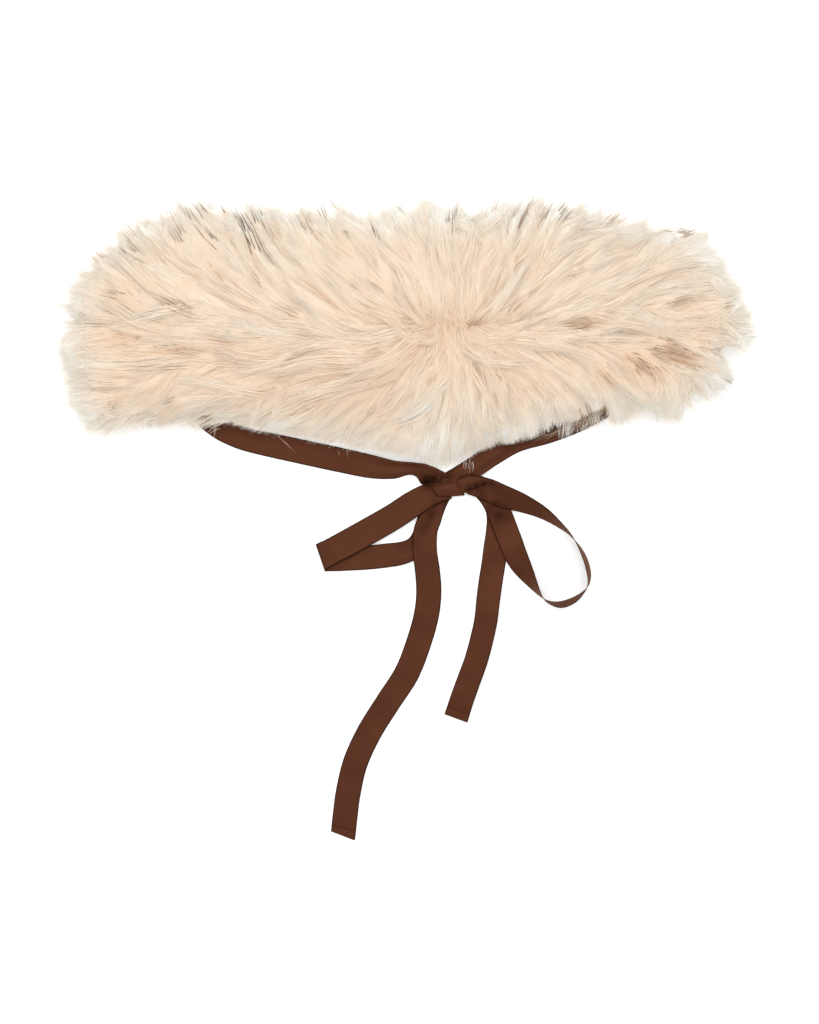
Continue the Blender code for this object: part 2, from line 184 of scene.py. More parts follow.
def satinMaterial():
    look = satinLook
    material, tree, shader = newMaterial("satinRibbon", look["roughness"], specular=look["specular"])
    shader.inputs["Metallic"].default_value = look["metallic"]
    shader.inputs["Anisotropic"].default_value = look["anisotropic"]
    shader.inputs["Specular Tint"].default_value = (*look["gloss"], 1)
    uv = addNode(tree, "ShaderNodeUVMap", uv_map="weave")
    acrossMm, alongMm, _ = separated(tree, uv.outputs[0])
    # threads show as fine streaks along the ribbon, with slow clouding over them
    stretch = addNode(tree, "ShaderNodeMapping")
    stretch.inputs["Scale"].default_value = look["threads"]
    tree.links.new(uv.outputs[0], stretch.inputs[0])
    streak = addNode(tree, "ShaderNodeTexNoise", Scale=1.0, Detail=3.0)
    tree.links.new(stretch.outputs[0], streak.inputs["Vector"])
    cloud = addNode(tree, "ShaderNodeTexNoise", Scale=look["cloud"], Detail=2.0)
    tree.links.new(uv.outputs[0], cloud.inputs["Vector"])
    blend = [calc(tree, "MULTIPLY", node.outputs[0], look["blend"]) for node in (streak, cloud)]
    body = mixColors(tree, calc(tree, "ADD", *blend), look["shade"], look["color"])
    # painted shade darkens the colour where the ribbons lie together
    paintedShadeMask = addNode(tree, "ShaderNodeAttribute", attribute_name="paintedShade")
    body = mixColors(tree, paintedShadeMask.outputs["Fac"], body, look["paintedShade"])
    # a dark band along both edges: the woven edge, with painted shade along it
    fromMiddle = calc(tree, "ABSOLUTE", acrossMm, 0)
    edge = calc(tree, "GREATER_THAN", fromMiddle, halfRibbon - look["edgeWidth"])
    color = mixColors(tree, edge, body, look["edge"])
    tree.links.new(color, shader.inputs["Base Color"])
    ribs = calc(tree, "SINE", calc(tree, "MULTIPLY", alongMm, 2 * math.pi / look["ribPitch"]), 0)
    height = calc(tree, "ADD", calc(tree, "MULTIPLY", ribs, look["ribs"]), streak.outputs[0])
    addBump(tree, shader, height, look["bump"], 0.0001)
    tangent = addNode(tree, "ShaderNodeTangent", direction_type="UV_MAP", uv_map="weave")
    tree.links.new(tangent.outputs[0], shader.inputs["Tangent"])
    return material


satin = satinMaterial()


# curves and meshes
def smoothRows(rows, at):
    # every column at fractional row numbers, on a smooth curve through the rows
    table = np.array(rows, float)
    table = np.vstack([2 * table[0] - table[1], table, 2 * table[-1] - table[-2]])
    low = np.clip(np.floor(at).astype(int), 0, len(rows) - 2)
    t = (at - low)[:, None]
    a, b, c, d = (table[low + k] for k in range(4))
    return 0.5 * (2 * b + (c - a) * t + (2 * a - 5 * b + 4 * c - d) * t**2 + (3 * b - a - 3 * c + d) * t**3)


def addPiece(name, mesh):
    # a finished mesh in the scene, on the collar's one body
    piece = bpy.data.objects.new(name, mesh)
    bpy.context.collection.objects.link(piece)
    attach(piece, "root")
    return piece


def meshFrom(work, name):
    mesh = bpy.data.meshes.new(name)
    work.to_mesh(mesh)
    work.free()
    return mesh


def satinPiece(name, mesh):
    mesh.materials.append(satin)
    markPaintedShade(mesh)
    mesh.polygons.foreach_set("use_smooth", [True] * len(mesh.polygons))
    return addPiece(name, mesh)


def wovenPiece(name, points, faces, uv):
    # points in mm, each with its place on the weave: mm across from the middle, mm along
    mesh = bpy.data.meshes.new(name)
    mesh.from_pydata([tuple(p) for p in np.asarray(points) * mm], [], faces)
    layer = mesh.uv_layers.new(name="weave")
    corners = np.empty(len(mesh.loops), int)
    mesh.loops.foreach_get("vertex_index", corners)
    layer.data.foreach_set("uv", np.asarray(uv, float)[corners].ravel())
    return satinPiece(name, mesh)


def unit(vectors):
    return vectors / np.maximum(np.linalg.norm(vectors, axis=-1, keepdims=True), 1e-9)


def shellFromGrid(name, grid, uvGrid, thick):
    # a closed sheet of even thickness either side of a grid of points, rows first
    rows, columns = grid.shape[:2]
    normal = unit(np.cross(np.gradient(grid, axis=1), np.gradient(grid, axis=0)))
    sides = [(grid + normal * thick / 2).reshape(-1, 3), (grid - normal * thick / 2).reshape(-1, 3)]
    index = np.arange(rows * columns).reshape(rows, columns)
    under = index + rows * columns
    top = np.stack([index[:-1, :-1], index[:-1, 1:], index[1:, 1:], index[1:, :-1]], axis=-1)
    bottom = np.stack([under[1:, :-1], under[1:, 1:], under[:-1, 1:], under[:-1, :-1]], axis=-1)
    rim = np.concatenate([index[0, :], index[1:, -1], index[-1, -2::-1], index[-2:0:-1, 0]])
    onwards = np.roll(rim, -1)
    edge = np.stack([onwards, rim, rim + rows * columns, onwards + rows * columns], axis=-1)
    faces = np.concatenate([top.reshape(-1, 4), bottom.reshape(-1, 4), edge]).tolist()
    return wovenPiece(name, np.concatenate(sides), faces, np.concatenate([uvGrid.reshape(-1, 2)] * 2))


# ribbons: each row holds the middle of the ribbon, the height of its lower face, the heading of
# the way across it in degrees, half its width and its tilt about its own length in degrees
ribbonLook = {
    "thick": 0.5,
    "step": 2.0,           # between rings along it
    "across": 15,          # points across it
    "ripple": 0.8,
    "cup": 0.5,
    "waves": (7.1, 4.3),   # run of the ripples
    "curlWave": 17,
    "calmEnds": 12,        # ripples die out this near to its ends
}
ribbons = {
    "tieLeft": {
        "replaces": "tie_left", "held": "laid", "folds": 3, "turn": 0.4,
        "rows": [
            (-170.5, -64, 0.0, 48, 10, 0), (-161.5, -72.8, 0.0, 58, 10, 0),
            (-149.2, -80.6, 0.0, 68, 10, 0), (-130.6, -87.6, 0.0, 76, 10, 0),
            (-89, -97, 0.0, 78.5, 10.2, 0), (-51, -105.2, 0.0, 78, 10.2, 0),
            (-29, -109.8, 0.0, 80, 9.7, 4), (-11, -112.2, 0.0, 88, 8.0, 14),
            (2, -111.2, 0.4, 86, 6.0, 20), (9, -112.6, 0.5, 80, 6.2, 14), (14, -115.8, 0.6, 76, 8.6, 6),
            (23.4, -119, 0.7, 62, 7.8, 2), (33, -123, 0.9, 52, 6.8, 0),
        ],
    },
    "tieRight": {
        "replaces": "tie_right", "held": "laid", "folds": 3, "turn": 2.0,
        "rows": [
            (170, -55, 0.0, 124, 10, 0), (157, -63, 0.0, 120, 10, 0), (137, -73, 0.0, 114, 10, 0),
            (115, -81, 0.0, 110, 10, 0), (91, -88.4, 0.0, 113, 9.4, 0), (71, -99.9, 0.6, 121, 9.2, 0),
            (57, -109.5, 1.6, 122, 8.8, 0), (45, -116.2, 2.3, 117, 8, 0), (35, -121, 2.5, 114, 7, 0),
        ],
    },
    "loopLeft": {
        "replaces": "loop_left", "held": "folded", "folds": 2, "turn": 0.0,
        "rows": [
            (34, -129, 2.6, 116, 8, 0), (21, -132, 3.2, 120, 9.6, 0), (6.3, -140, 3.9, 125, 10.8, 0),
            (-10.8, -151.3, 3.6, 123, 11, 0), (-30.8, -162.8, 3.2, 121, 11.1, 0),
            (-50.6, -173.8, 2.9, 117, 11.1, 0), (-62.9, -180.3, 2.6, 112, 11, 0),
            (-70.2, -184.2, 2.2, 109.5, 11.5, 0), (-72.7, -186, 1.3, 109, 11.6, 0),
            (-69.5, -186.4, 0.3, 108, 11, 0), (-60, -186.6, 0.0, 102, 10.4, 0),
            (-47.5, -186.3, 0.0, 96, 10, 0), (-31, -185.3, 0.0, 93.5, 10, 0),
            (-16, -183.6, 0.0, 95, 10, 0), (-5, -182, 0.0, 98, 9.6, 0), (4, -178.5, 0.0, 108, 9.2, 0),
            (11, -171.5, 0.0, 128, 9.6, 0), (15.5, -162, 0.0, 143, 10, 0), (19, -152, 0.0, 151, 10, 0),
            (22.5, -142.5, 0.0, 154, 9.6, 0), (27, -134, 0.0, 152, 9, 0), (33, -127, 0.0, 148, 8, 0),
        ],
    },
    "loopRight": {
        "replaces": "loop_right", "held": "folded", "folds": 2, "turn": 1.0,
        "rows": [
            (51, -124.5, 4.0, 78, 8, 0), (66, -128.5, 3.6, 74, 9.3, 2), (81.1, -135.2, 2.3, 69, 10, 20),
            (97.0, -140.8, 1.2, 65, 10, 43), (113.4, -148.8, 0.4, 55, 10, 62),
            (127.2, -158.9, 0.0, 46, 10, 79), (136.8, -168, 0.0, 37, 10, 90),
            (145.8, -182, 0.0, 22, 10, 102), (150.6, -196.5, 0.0, 6, 10, 104),
            (150.6, -207, 0.0, -12, 10, 98), (146.3, -213.8, 0.0, -38, 10, 90),
            (138, -220.6, 0.0, -62, 10, 80), (128, -224.2, 0.0, -86, 10, 77),
            (119.4, -223, 0.0, -110, 10, 83), (112.2, -218.4, 0.0, -128, 10, 91),
            (103.7, -206.5, 0.5, -143, 10, 114), (92.3, -187.4, 1.3, -152, 10, 152),
            (84.2, -167.2, 1.4, -158, 10, 176), (78, -151, 1.4, -158, 10, 180),
            (71, -137, 1.4, -152, 9.5, 180), (61, -126, 1.4, -140, 8.5, 180),
        ],
    },
    "tailLeft": {
        "replaces": "tail_left", "held": "laid", "folds": 2, "turn": 0.0, "hem": 6.6,
        "rows": [
            (29.5, -131, 1.45, -24, 6.4, 0), (24.8, -140, 1.45, -27, 7.6, 0),
            (19.8, -152, 1.45, -22, 9.2, 0), (15.5, -163, 1.45, -10, 10, 0),
            (14.8, -179, 1.45, 0, 10.2, 0), (17.0, -196, 0.6, 5, 10.4, 0),
            (18.2, -212.5, 0.0, 0, 10.5, 0), (16.6, -231, 0.0, -9, 10.5, 0),
            (11.0, -252.5, 0.0, -20, 10.5, 0), (0.2, -281, 0.0, -30, 10.5, 0),
            (-15.8, -306, 0.0, -34, 10.4, 0), (-31.4, -331, 0.0, -32, 10.4, 0),
            (-42.9, -356, 0.0, -22, 10.4, 0), (-48.9, -381, 0.0, -10, 10.4, 0),
            (-51.4, -400, 0.0, -9, 10.4, 0), (-53.3, -416.9, 0.0, -21, 10.7, 0),
        ],
    },
    "tailRight": {
        "replaces": "tail_right", "held": "laid", "folds": 2, "turn": 0.0, "hem": 6.6,
        "rows": [
            (62, -128, 0.0, -40, 8, 0), (70, -138, 0.0, -32, 9.4, 0), (76, -151.5, 0.0, -10, 10, 0),
            (75.7, -164, 0.0, -7, 10, 0), (73.8, -177, 0.0, -8, 10, 0), (72.0, -191, 0.0, -8, 10, 0),
            (69.7, -205, 0.0, -8, 10, 5), (67.5, -221, 0.0, -9, 10, 12), (65.5, -238, 0.0, -12, 10, 17),
            (62.0, -254, 0.0, -15, 10, 18), (57.4, -271, 0.0, -17, 10, 16), (51.3, -288, 0.0, -20, 10, 12),
            (46.0, -303, 0.0, -22, 10, 6), (40.9, -319, 0.0, -20, 10.2, 2),
        ],
    },
}


def ribbonLine(rows, step):
    # fractional row numbers so that rings are evenly spaced along the ribbon
    fine = np.linspace(0, len(rows) - 1, 40 * len(rows))
    path = smoothRows(rows, fine)[:, :3]
    run = np.concatenate([[0], np.cumsum(np.linalg.norm(np.diff(path, axis=0), axis=1))])
    count = max(4, int(run[-1] / step))
    return np.interp(np.linspace(0, run[-1], count + 1), run, fine), run[-1]


def ribbonGrid(rows, folds, turn):
    # points over a ribbon's middle layer, with their places on the weave
    at, length = ribbonLine(rows, ribbonLook["step"])
    x, y, lift, heading, half, tilt = smoothRows(rows, at).T
    heading, tilt = np.radians(heading), np.radians(tilt)
    rise = half * np.abs(np.sin(tilt)) + ribbonLook["thick"] * np.abs(np.cos(tilt))
    middle = np.column_stack([x, y, np.maximum(lift, 0) + rise])
    side = np.column_stack([np.cos(tilt) * np.cos(heading), np.cos(tilt) * np.sin(heading), np.sin(tilt)])
    normal = unit(np.cross(side, np.gradient(middle, axis=0)))
    s = np.linspace(-1, 1, ribbonLook["across"])
    grid = middle[:, None] + side[:, None] * (half[:, None] * s)[..., None]
    # where the ribbon is drawn in narrower than its cut, the rest of it stands in soft pleats
    slack = np.sqrt(np.clip(halfRibbon / half - 1, 0, None))
    pleat = slack * half * 2 * 2 / (folds * math.pi)
    wave = pleat[:, None] * np.sin(s * folds * math.pi / 2 + turn) * 0.5
    grid = grid + normal[:, None] * wave[..., None]
    # it lies a little unevenly: slow ripples along it, one edge or the other curling up
    run = np.linspace(0, length, len(at))[:, None]
    slow, quick = ribbonLook["waves"]
    ripple = np.sin(run / slow + 2.1 * turn + 0.9 * s) + 0.7 * np.sin(run / quick + folds - 0.8 * s)
    curl = np.clip(np.sin(run / ribbonLook["curlWave"] + turn) * s + s**2, 0, None)
    fade = np.minimum(1, np.minimum(run, length - run) / ribbonLook["calmEnds"])
    fade = fade * np.abs(np.cos(tilt))[:, None]
    grid[..., 2] += fade * (ribbonLook["ripple"] * (ripple + 1.7) / 3.4 + ribbonLook["cup"] * curl * 0.6)
    grid[..., 2] = np.maximum(grid[..., 2], ribbonLook["thick"] / 2 + 0.05)
    uv = np.stack(np.broadcast_arrays(halfRibbon * s[None, :], run), axis=-1)
    return grid, uv, length


# a tail's hem: its end turned back once over the ribbon, and sewn down along the upper edge
hemLook = {
    "rise": 0.75,         # of the turned-back end over the ribbon
    "thick": 0.45,
    "thread": 0.15,       # radius
    "threadRise": 1.02,
    "arch": 0.16,         # how high each stitch stands in its middle
    "stitch": 1.6,
    "pitch": 2.3,         # from one stitch to the next
    "inset": 0.9,         # from the hem's edge
    "margins": (1.2, 2.0),
}
hemPlace = (0, 40)    # its place on the weave, away from the tail's
up = np.array([0.0, 0.0, 1.0])


def sewStitches(name, first, across, inward):
    # small raised stitches in a row, each a six-sided thread of six rings
    width = np.linalg.norm(across)
    across = across / width
    before, after = hemLook["margins"]
    start = first + up * hemLook["threadRise"] - inward * hemLook["inset"]
    sides, rings = 6, 6
    points, faces, uv = [], [], []
    for place in np.arange(before, width - after, hemLook["pitch"]):
        base = len(points)
        for ring, share in enumerate(np.linspace(0, 1, rings)):
            arch = math.sin(share * math.pi)
            middle = start + across * (place + hemLook["stitch"] * share)
            middle = middle + up * (hemLook["arch"] * arch) - up * 0.05
            for corner in range(sides):
                angle = corner * 2 * math.pi / sides
                away = inward * math.cos(angle) + up * math.sin(angle)
                points.append(middle + away * (hemLook["thread"] * (0.55 + 0.45 * arch)))
                uv.append((4 + share, corner * 0.2))
            if ring:
                for corner in range(sides):
                    one, two = (base + (ring - 1) * sides + c % sides for c in (corner, corner + 1))
                    faces.append([one, two, two + sides, one + sides])
        faces.append([base + corner for corner in reversed(range(sides))])
        faces.append([base + (rings - 1) * sides + corner for corner in range(sides)])
    return wovenPiece(name, points, faces, uv)


def buildHem(name, grid, uv, depth):
    rings = int(depth / ribbonLook["step"]) + 1
    fold, foldUv = grid[-rings:] + up * hemLook["rise"], uv[-rings:] + hemPlace
    outward = unit(grid[-1] - grid[-2])
    turn = [fold[-1] + outward * 0.25 - up * 0.30, fold[-1] + outward * 0.30 - up * hemLook["rise"]]
    turnUv = [foldUv[-1] + (0, 0.5), foldUv[-1] + (0, 1.0)]
    fold, foldUv = np.concatenate([fold, turn]), np.concatenate([foldUv, turnUv])
    hem = shellFromGrid(name, fold, foldUv, hemLook["thick"])
    across = grid[-rings, -1] - grid[-rings, 0]
    inward = unit(grid[-rings] - grid[-rings + 1])[0]
    return [hem, sewStitches(name + "Stitches", grid[-rings, 0], across, inward)]


def buildRibbons():
    for name, ribbon in ribbons.items():
        grid, uv, length = ribbonGrid(ribbon["rows"], ribbon["folds"], ribbon["turn"])
        piece = shellFromGrid(name, grid, uv, ribbonLook["thick"])
        hem = buildHem(name.replace("tail", "hem"), grid, uv, ribbon["hem"]) if "hem" in ribbon else []
        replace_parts(piece, ribbon["replaces"])
        print("ribbon", name, round(length), "mm")


buildRibbons()

# the knot: a dark gathered core, the ribbon wrapped down over it, and the turn that starts the right loop.
# rows hold the middle of the ribbon (x, y, z), the heading of the way across it and half its width
knot = {
    "pleats": 0.45,
    "step": 0.8,
    "across": 25,
    "drop": 0.30,          # its sides come down by this share
    "sideHeight": 0.8,     # of their height above this
    "coreHeight": 0.86,
    "wrap": [
        (31.5, -125.2, 1.0, 14, 9.6), (30.6, -122.9, 3.0, 14.5, 10.6), (30.9, -123.4, 5.3, 14, 11.1),
        (32.0, -126.0, 6.7, 11, 11.3), (33.6, -129.0, 7.0, 8, 11.3), (35.3, -131.8, 6.3, 6, 11.2),
        (36.8, -134.0, 4.2, 5, 11.1), (37.0, -134.4, 2.2, 5, 10.6), (36.4, -132.8, 0.9, 6, 9.6),
    ],
    "turn": [
        (43.5, -127.5, 5.9, 126, 5.4), (45.5, -125.9, 6.9, 127, 6.7), (48.0, -124.6, 7.0, 120, 6.7),
        (50.8, -123.5, 6.8, 112, 6.4), (56.0, -121.9, 6.3, 111, 5.6), (61.6, -121.3, 5.7, 102, 4.1),
        (66.4, -121.6, 5.0, 97, 2.3), (71.6, -122.3, 4.3, 92, 0.6),
    ],
}


def buildWrap(name, rows, sweep, foldsAcross):
    at, length = ribbonLine(rows, knot["step"])
    x, y, z, heading, half = smoothRows(rows, at).T
    heading = np.radians(heading)
    side = np.column_stack([np.cos(heading), np.sin(heading), 0 * heading])
    s = np.linspace(-1, 1, knot["across"])
    grid = np.column_stack([x, y, z])[:, None] + side[:, None] * (half[:, None] * s)[..., None]
    # rounded down at its two folds, with soft pleats between
    grid[..., 2] -= (z[:, None] - knot["sideHeight"]) * knot["drop"] * np.abs(s)**4
    middle = np.sin(np.linspace(0, math.pi, len(at)))[:, None]
    pleats = knot["pleats"] * middle * np.sin(foldsAcross * s * math.pi + 0.6 + 0.8 * middle)
    grid[..., 2] = np.maximum(grid[..., 2] + pleats * (1 - np.abs(s)**3), 0.35)
    across = sweep[0] + (sweep[1] - sweep[0]) * (s[None, :] + 1) / 2
    uv = np.stack(np.broadcast_arrays(across, np.linspace(0, length, len(at))[:, None]), axis=-1)
    piece = shellFromGrid(name, grid, uv, ribbonLook["thick"])
    return piece


def buildKnot():
    work = bmesh.new()
    work.from_mesh(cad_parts["knot"].data)
    bmesh.ops.remove_doubles(work, verts=work.verts, dist=0.00001)
    bmesh.ops.subdivide_edges(work, edges=work.edges, cuts=2, use_grid_fill=True)
    bmesh.ops.triangulate(work, faces=work.faces)
    weave = work.loops.layers.uv.new("weave")
    for v in work.verts:
        x, y, z = (c / mm for c in v.co)
        folds = 0.35 * math.sin(1.5 * (y + 0.25 * x)) * min(1, z / 3)
        v.co.z = (z * knot["coreHeight"] + folds) * mm
    for face in work.faces:
        for loop in face.loops:
            loop[weave].uv = (loop.vert.co.y / mm + 126, loop.vert.co.x / mm)
    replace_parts(satinPiece("knotCore", meshFrom(work, "knotCore")), "knot")
    wrap = buildWrap("knotWrap", knot["wrap"], (-10, 10), 1.1)
    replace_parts(wrap, "knot_band")
    buildWrap("knotTurn", knot["turn"], (-10, 3), 0.7)
    print("knot built")


buildKnot()


# the nap: heading of the hair in degrees over the collar, at stations along it (x) and levels across it (y)
napLevels = (95, 60, 30, 12, -4, -20, -50, -85)
napHeadings = {
    -280: (145, 152, 165, 172, 178, 182, 190, 198),
    -220: (128, 138, 155, 168, 178, 186, 197, 205),
    -160: (121, 131, 150, 167, 180, 188, 201, 212),
    -100: (119, 128, 146, 162, 178, 190, 203, 214),
    -50: (117, 125, 138, 155, 180, 196, 210, 220),
    -10: (112, 119, 130, 145, 190, 210, 226, 236),
    20: (100, 106, 112, 125, 228, 238, 250, 256),
    41: (89, 90, 90, 90, 268, 268, 268, 268),
    60: (82, 78, 70, 55, 335, 310, 290, 280),
    90: (71, 65, 52, 30, 350, 330, 300, 283),
    130: (56, 47, 36, 18, 352, 335, 305, 285),
    170: (44, 36, 24, 8, 345, 337, 299, 281),
    220: (34, 26, 14, 2, 343, 338, 297, 280),
    270: (20, 12, 6, 358, 345, 330, 310, 290),
}


def turned(vectors, angle):
    cosine, sine = np.cos(angle), np.sin(angle)
    x, y = vectors[..., 0], vectors[..., 1]
    return np.stack([x * cosine - y * sine, x * sine + y * cosine], axis=-1)


def softWaves(draw, p, wavelength, waves=7):
    # gentle random swell over the plan, about -1 to 1
    total = np.zeros(p.shape[:-1])
    for _ in range(waves):
        angle, phase = draw.uniform(0, 2 * math.pi, 2)
        pitch = wavelength * draw.uniform(0.7, 1.6)
        along = p[..., 0] * math.cos(angle) + p[..., 1] * math.sin(angle)
        total += np.sin(along * 2 * math.pi / pitch + phase)
    return total / math.sqrt(waves * 2)


def tableHeadings(p):
    # the nap at places p, evened out between the table's stations and levels
    stations, levels = np.array(list(napHeadings), float), -np.array(napLevels, float)
    angle = np.radians(np.array(list(napHeadings.values()), float))
    vector = np.stack([np.cos(angle), np.sin(angle)], axis=-1)
    x, y = np.clip(p[..., 0], stations[0], stations[-1]), np.clip(-p[..., 1], levels[0], levels[-1])
    i = np.clip(np.searchsorted(stations, x) - 1, 0, len(stations) - 2)
    j = np.clip(np.searchsorted(levels, y) - 1, 0, len(levels) - 2)
    u = ((x - stations[i]) / (stations[i + 1] - stations[i]))[..., None]
    v = ((y - levels[j]) / (levels[j + 1] - levels[j]))[..., None]
    near = vector[i, j] * (1 - u) + vector[i + 1, j] * u
    far = vector[i, j + 1] * (1 - u) + vector[i + 1, j + 1] * u
    return unit(near * (1 - v) + far * v)


# how much further, in mm, the hair runs past the outline near a place: (x, y), how wide about it, how much
edgeChanges = [
    (-10, 101, 14, 13), (44, 107, 10, -24), (25, 104, 9, 13), (60, 104, 10, -6), (88, 108, 20, 3),
    (124, 107, 10, -5), (147, 105, 14, -4), (186, 97, 24, -7), (228, 90, 12, -6), (248, 74, 22, 21),
    (270, 57, 9, -4), (282, 32, 14, -8), (286, 4, 12, 3), (283, -12, 9, 16), (271, -22, 11, -31),
    (263, -41, 13, 29), (238, -58, 12, -9), (221, -70, 8, 9), (200, -71, 12, -10), (174, -71, 14, 20),
    (28, -109, 22, 10), (0, -103, 16, 5), (-20, -99, 10, 3), (-182, -75, 18, -3), (-217, -77, 24, -16),
    (-248, -80, 8, -13), (-267, -78, 10, 18), (-281, -54, 10, 8), (-287, -12, 20, 8), (-285, 17, 12, -18),
    (-279, 38, 9, 6), (-270, 55, 12, -9), (-248, 79, 12, -11), (-222, 92, 12, -5), (-203, 100, 12, -8),
    (-172, 100, 26, -6), (-140, 104, 20, -10), (-86, 105, 22, -10), (-52, 103, 16, -10),
    (-28, 101, 10, -10),
]


def edgeChange(points):
    total = np.zeros(points.shape[:-1])
    for x, y, wide, change in edgeChanges:
        total += change * np.exp(-((points[..., 0] - x)**2 + (points[..., 1] - y)**2) / wide**2)
    return total


# the line (x, y) where the fur's lower edge stops: just behind the left tie, and over the right one
furFoot = [
    (-158, -74), (-137, -77.5), (-117, -81.7), (-97, -85), (-77, -89.2), (-57, -93.3), (-37, -97.5),
    (-17, -101.7), (3, -105), (13, -108), (23, -112.3), (28.5, -114.5), (33, -112.5), (43, -107.5),
    (53, -103.3), (63, -98.5), (73, -95), (83, -92.5), (93, -91.5), (103, -89), (113, -85), (123, -80),
    (128, -77.5), (133, -76.5), (140, -74), (150, -69), (160, -63), (165.5, -60.5),
]


def footLine(x):
    line = np.array(furFoot)
    return np.interp(x, line[:, 0], line[:, 1] + 0.5, left=-999, right=-999)


# the way to a place's neighbours on a grid: (axis, shift) straight, both shifts at once diagonally
straight = ((0, 1), (0, -1), (1, 1), (1, -1))
diagonal = ((1, 1), (1, -1), (-1, 1), (-1, -1))


def nextRing(field, sweep, choose):
    # one ring grown or worn away; diagonals join in every second time, which keeps it round
    ring = field.copy()
    for axis, shift in straight:
        ring = choose(ring, np.roll(field, shift, axis))
    if sweep % 2:
        for shift in diagonal:
            ring = choose(ring, np.roll(field, shift, (0, 1)))
    return ring


def softened(field, times):
    for _ in range(times):
        field = (field + sum(np.roll(field, shift, axis) for axis in (0, 1) for shift in (-1, 1))) / 5
    return field


def levelled(field, times):
    for _ in range(times):
        field = sum(np.roll(field, shift, axis) for axis in (0, 1) for shift in (-1, 0, 1)) / 6
    return field


def wayUp(field):
    # the heading in plan in which a field rises
    dy, dx = np.gradient(field)
    return unit(np.stack([dx, dy], axis=-1))


# the collar's height over the table and its nap, on one fine grid over the plan
class Plan:
    pitch, left, bottom, columns, rows = 2.0, -340.0, -160.0, 340, 170

    def __init__(self):
        x = self.left + self.pitch * np.arange(self.columns)
        y = self.bottom + self.pitch * np.arange(self.rows)
        self.grid = np.stack(np.meshgrid(x, y), axis=-1)
        self.height = self.castHeights()
        self.inside = (self.height > 0.01).astype(float)
        self.outerDepth = self.measuredDepth()
        self.outside = self.measuredOutside()
        self.outward = wayUp(softened(self.outside, 6))
        self.inside *= self.grid[..., 1] > footLine(self.grid[..., 0])
        self.height = self.carriedOn()
        self.depth = self.measuredDepth()
        # 1 deep inside and 0 well outside, with the locks at the edge smoothed away
        self.core = softened(self.inside, 40)
        draw = np.random.default_rng(3)
        sway = np.radians(9) * softWaves(draw, self.grid, 70)
        sway = sway + np.radians(5) * softWaves(draw, self.grid, 30)
        self.nap = turned(tableHeadings(self.grid), sway)
        self.wayOut = unit(0.6 * self.nap - wayUp(self.core))
        self.ahead = self.measuredAhead()

    def castHeights(self):
        height = np.zeros((self.rows, self.columns))
        for name in ("fur_left", "fur_right"):
            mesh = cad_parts[name].data
            faces = [p.vertices[:] for p in mesh.polygons]
            tree = BVHTree.FromPolygons([v.co for v in mesh.vertices], faces)
            for r, c in np.ndindex(height.shape):
                x, y = self.grid[r, c] * mm
                hit = tree.ray_cast(Vector((x, y, 0.2)), Vector((0, 0, -1)))[0]
                if hit:
                    height[r, c] = max(height[r, c], hit.z / mm)
        return height

    def carriedOn(self):
        # the height softened inside, and carried on past the edge
        height, known = self.height, self.inside.copy()
        for sweep in range(40):
            total, share = height * known, known.copy()
            for axis, shift in straight:
                total += np.roll(height * known, shift, axis)
                share += np.roll(known, shift, axis)
            mean = total / np.maximum(share, 1e-6)
            if sweep < 6:
                height = np.where(self.inside > 0, mean, height)
            else:
                fresh = (known == 0) & (share > 0)
                height, known = np.where(fresh, mean, height), np.where(fresh, 1.0, known)
        return height

    def measuredDepth(self):
        # distance in from the outline, by wearing the plan away ring by ring
        left, depth = self.inside, 0
        for sweep in range(40):
            depth = depth + left * self.pitch
            left = nextRing(left, sweep, np.minimum)
        return depth

    def measuredOutside(self):
        # distance out from the outline, by growing it
        grown, away = self.inside, 0
        for sweep in range(16):
            away = away + (1 - grown) * self.pitch
            grown = nextRing(grown, sweep, np.maximum)
        return away

    def measuredAhead(self):
        # how far the nap runs from each place before it leaves the outline
        place, ahead, within, step = self.grid, 0, self.inside > 0.5, 3.0
        for _ in range(14):
            ahead = ahead + step * within
            place = place + step * self.read(self.nap, place)
            within = within & (self.read(self.inside, place) > 0.5)
        return ahead

    def keptIn(self, points, allowed):
        # points further out than allowed are brought back towards the outline
        over = np.clip(self.read(self.outside, points) - 1.0 - allowed - edgeChange(points), 0, None)
        return points - self.read(self.outward, points) * over[..., None]

    def read(self, field, p):
        x = np.clip((p[..., 0] - self.left) / self.pitch, 0, self.columns - 1.001)
        y = np.clip((p[..., 1] - self.bottom) / self.pitch, 0, self.rows - 1.001)
        c, r = x.astype(int), y.astype(int)
        u, v = x - c, y - r
        if field.ndim == 3:
            u, v = u[..., None], v[..., None]
        near = field[r, c] * (1 - u) + field[r, c + 1] * u
        far = field[r + 1, c] * (1 - u) + field[r + 1, c + 1] * u
        return near * (1 - v) + far * v


plan = Plan()
print("plan read from the collar's solids, highest", round(plan.height.max(), 1), "mm")

# the coat: locks hold tufts, and tufts hold hairs, each lying along its parent's path
coat = {
    "seed": 5,
    "lockSpacing": 17.0,
    "tuftSpacing": 4.4,
    "topHairs": 40000,
    "overHairs": 19000,    # in the loose locks that lie over the rest
    "overLocks": 170,
    "overTurn": 15.0,
    "wisps": 9000,         # fine pale hair past the outline
    "rimHairs": 12000,     # short hair down the sides
    "frontHairs": 2200,    # more of it at the steep front left
    "underHairs": 62000,
    "length": 54.0,
    "backing": 24.0,       # roots lie at least this far in, as the nap runs
    "lockTurn": 10.0,      # degrees off the nap, either way
    "tuftTurn": 4.5,
    "lockGather": 0.16,
    "tuftGather": 0.10,
    "lockBulge": 1.2,
    "width": 0.62,
    "wispWidth": 0.26,
    "rimWidth": 0.55,
    "tones": (0.56, 0.43, 0.38),    # undercoat, top coat, loose locks: 0 pale, 0.86 warm
}
axisStep, axisSteps = 6.0, 15    # the paths of locks and tufts: mm a step, and steps
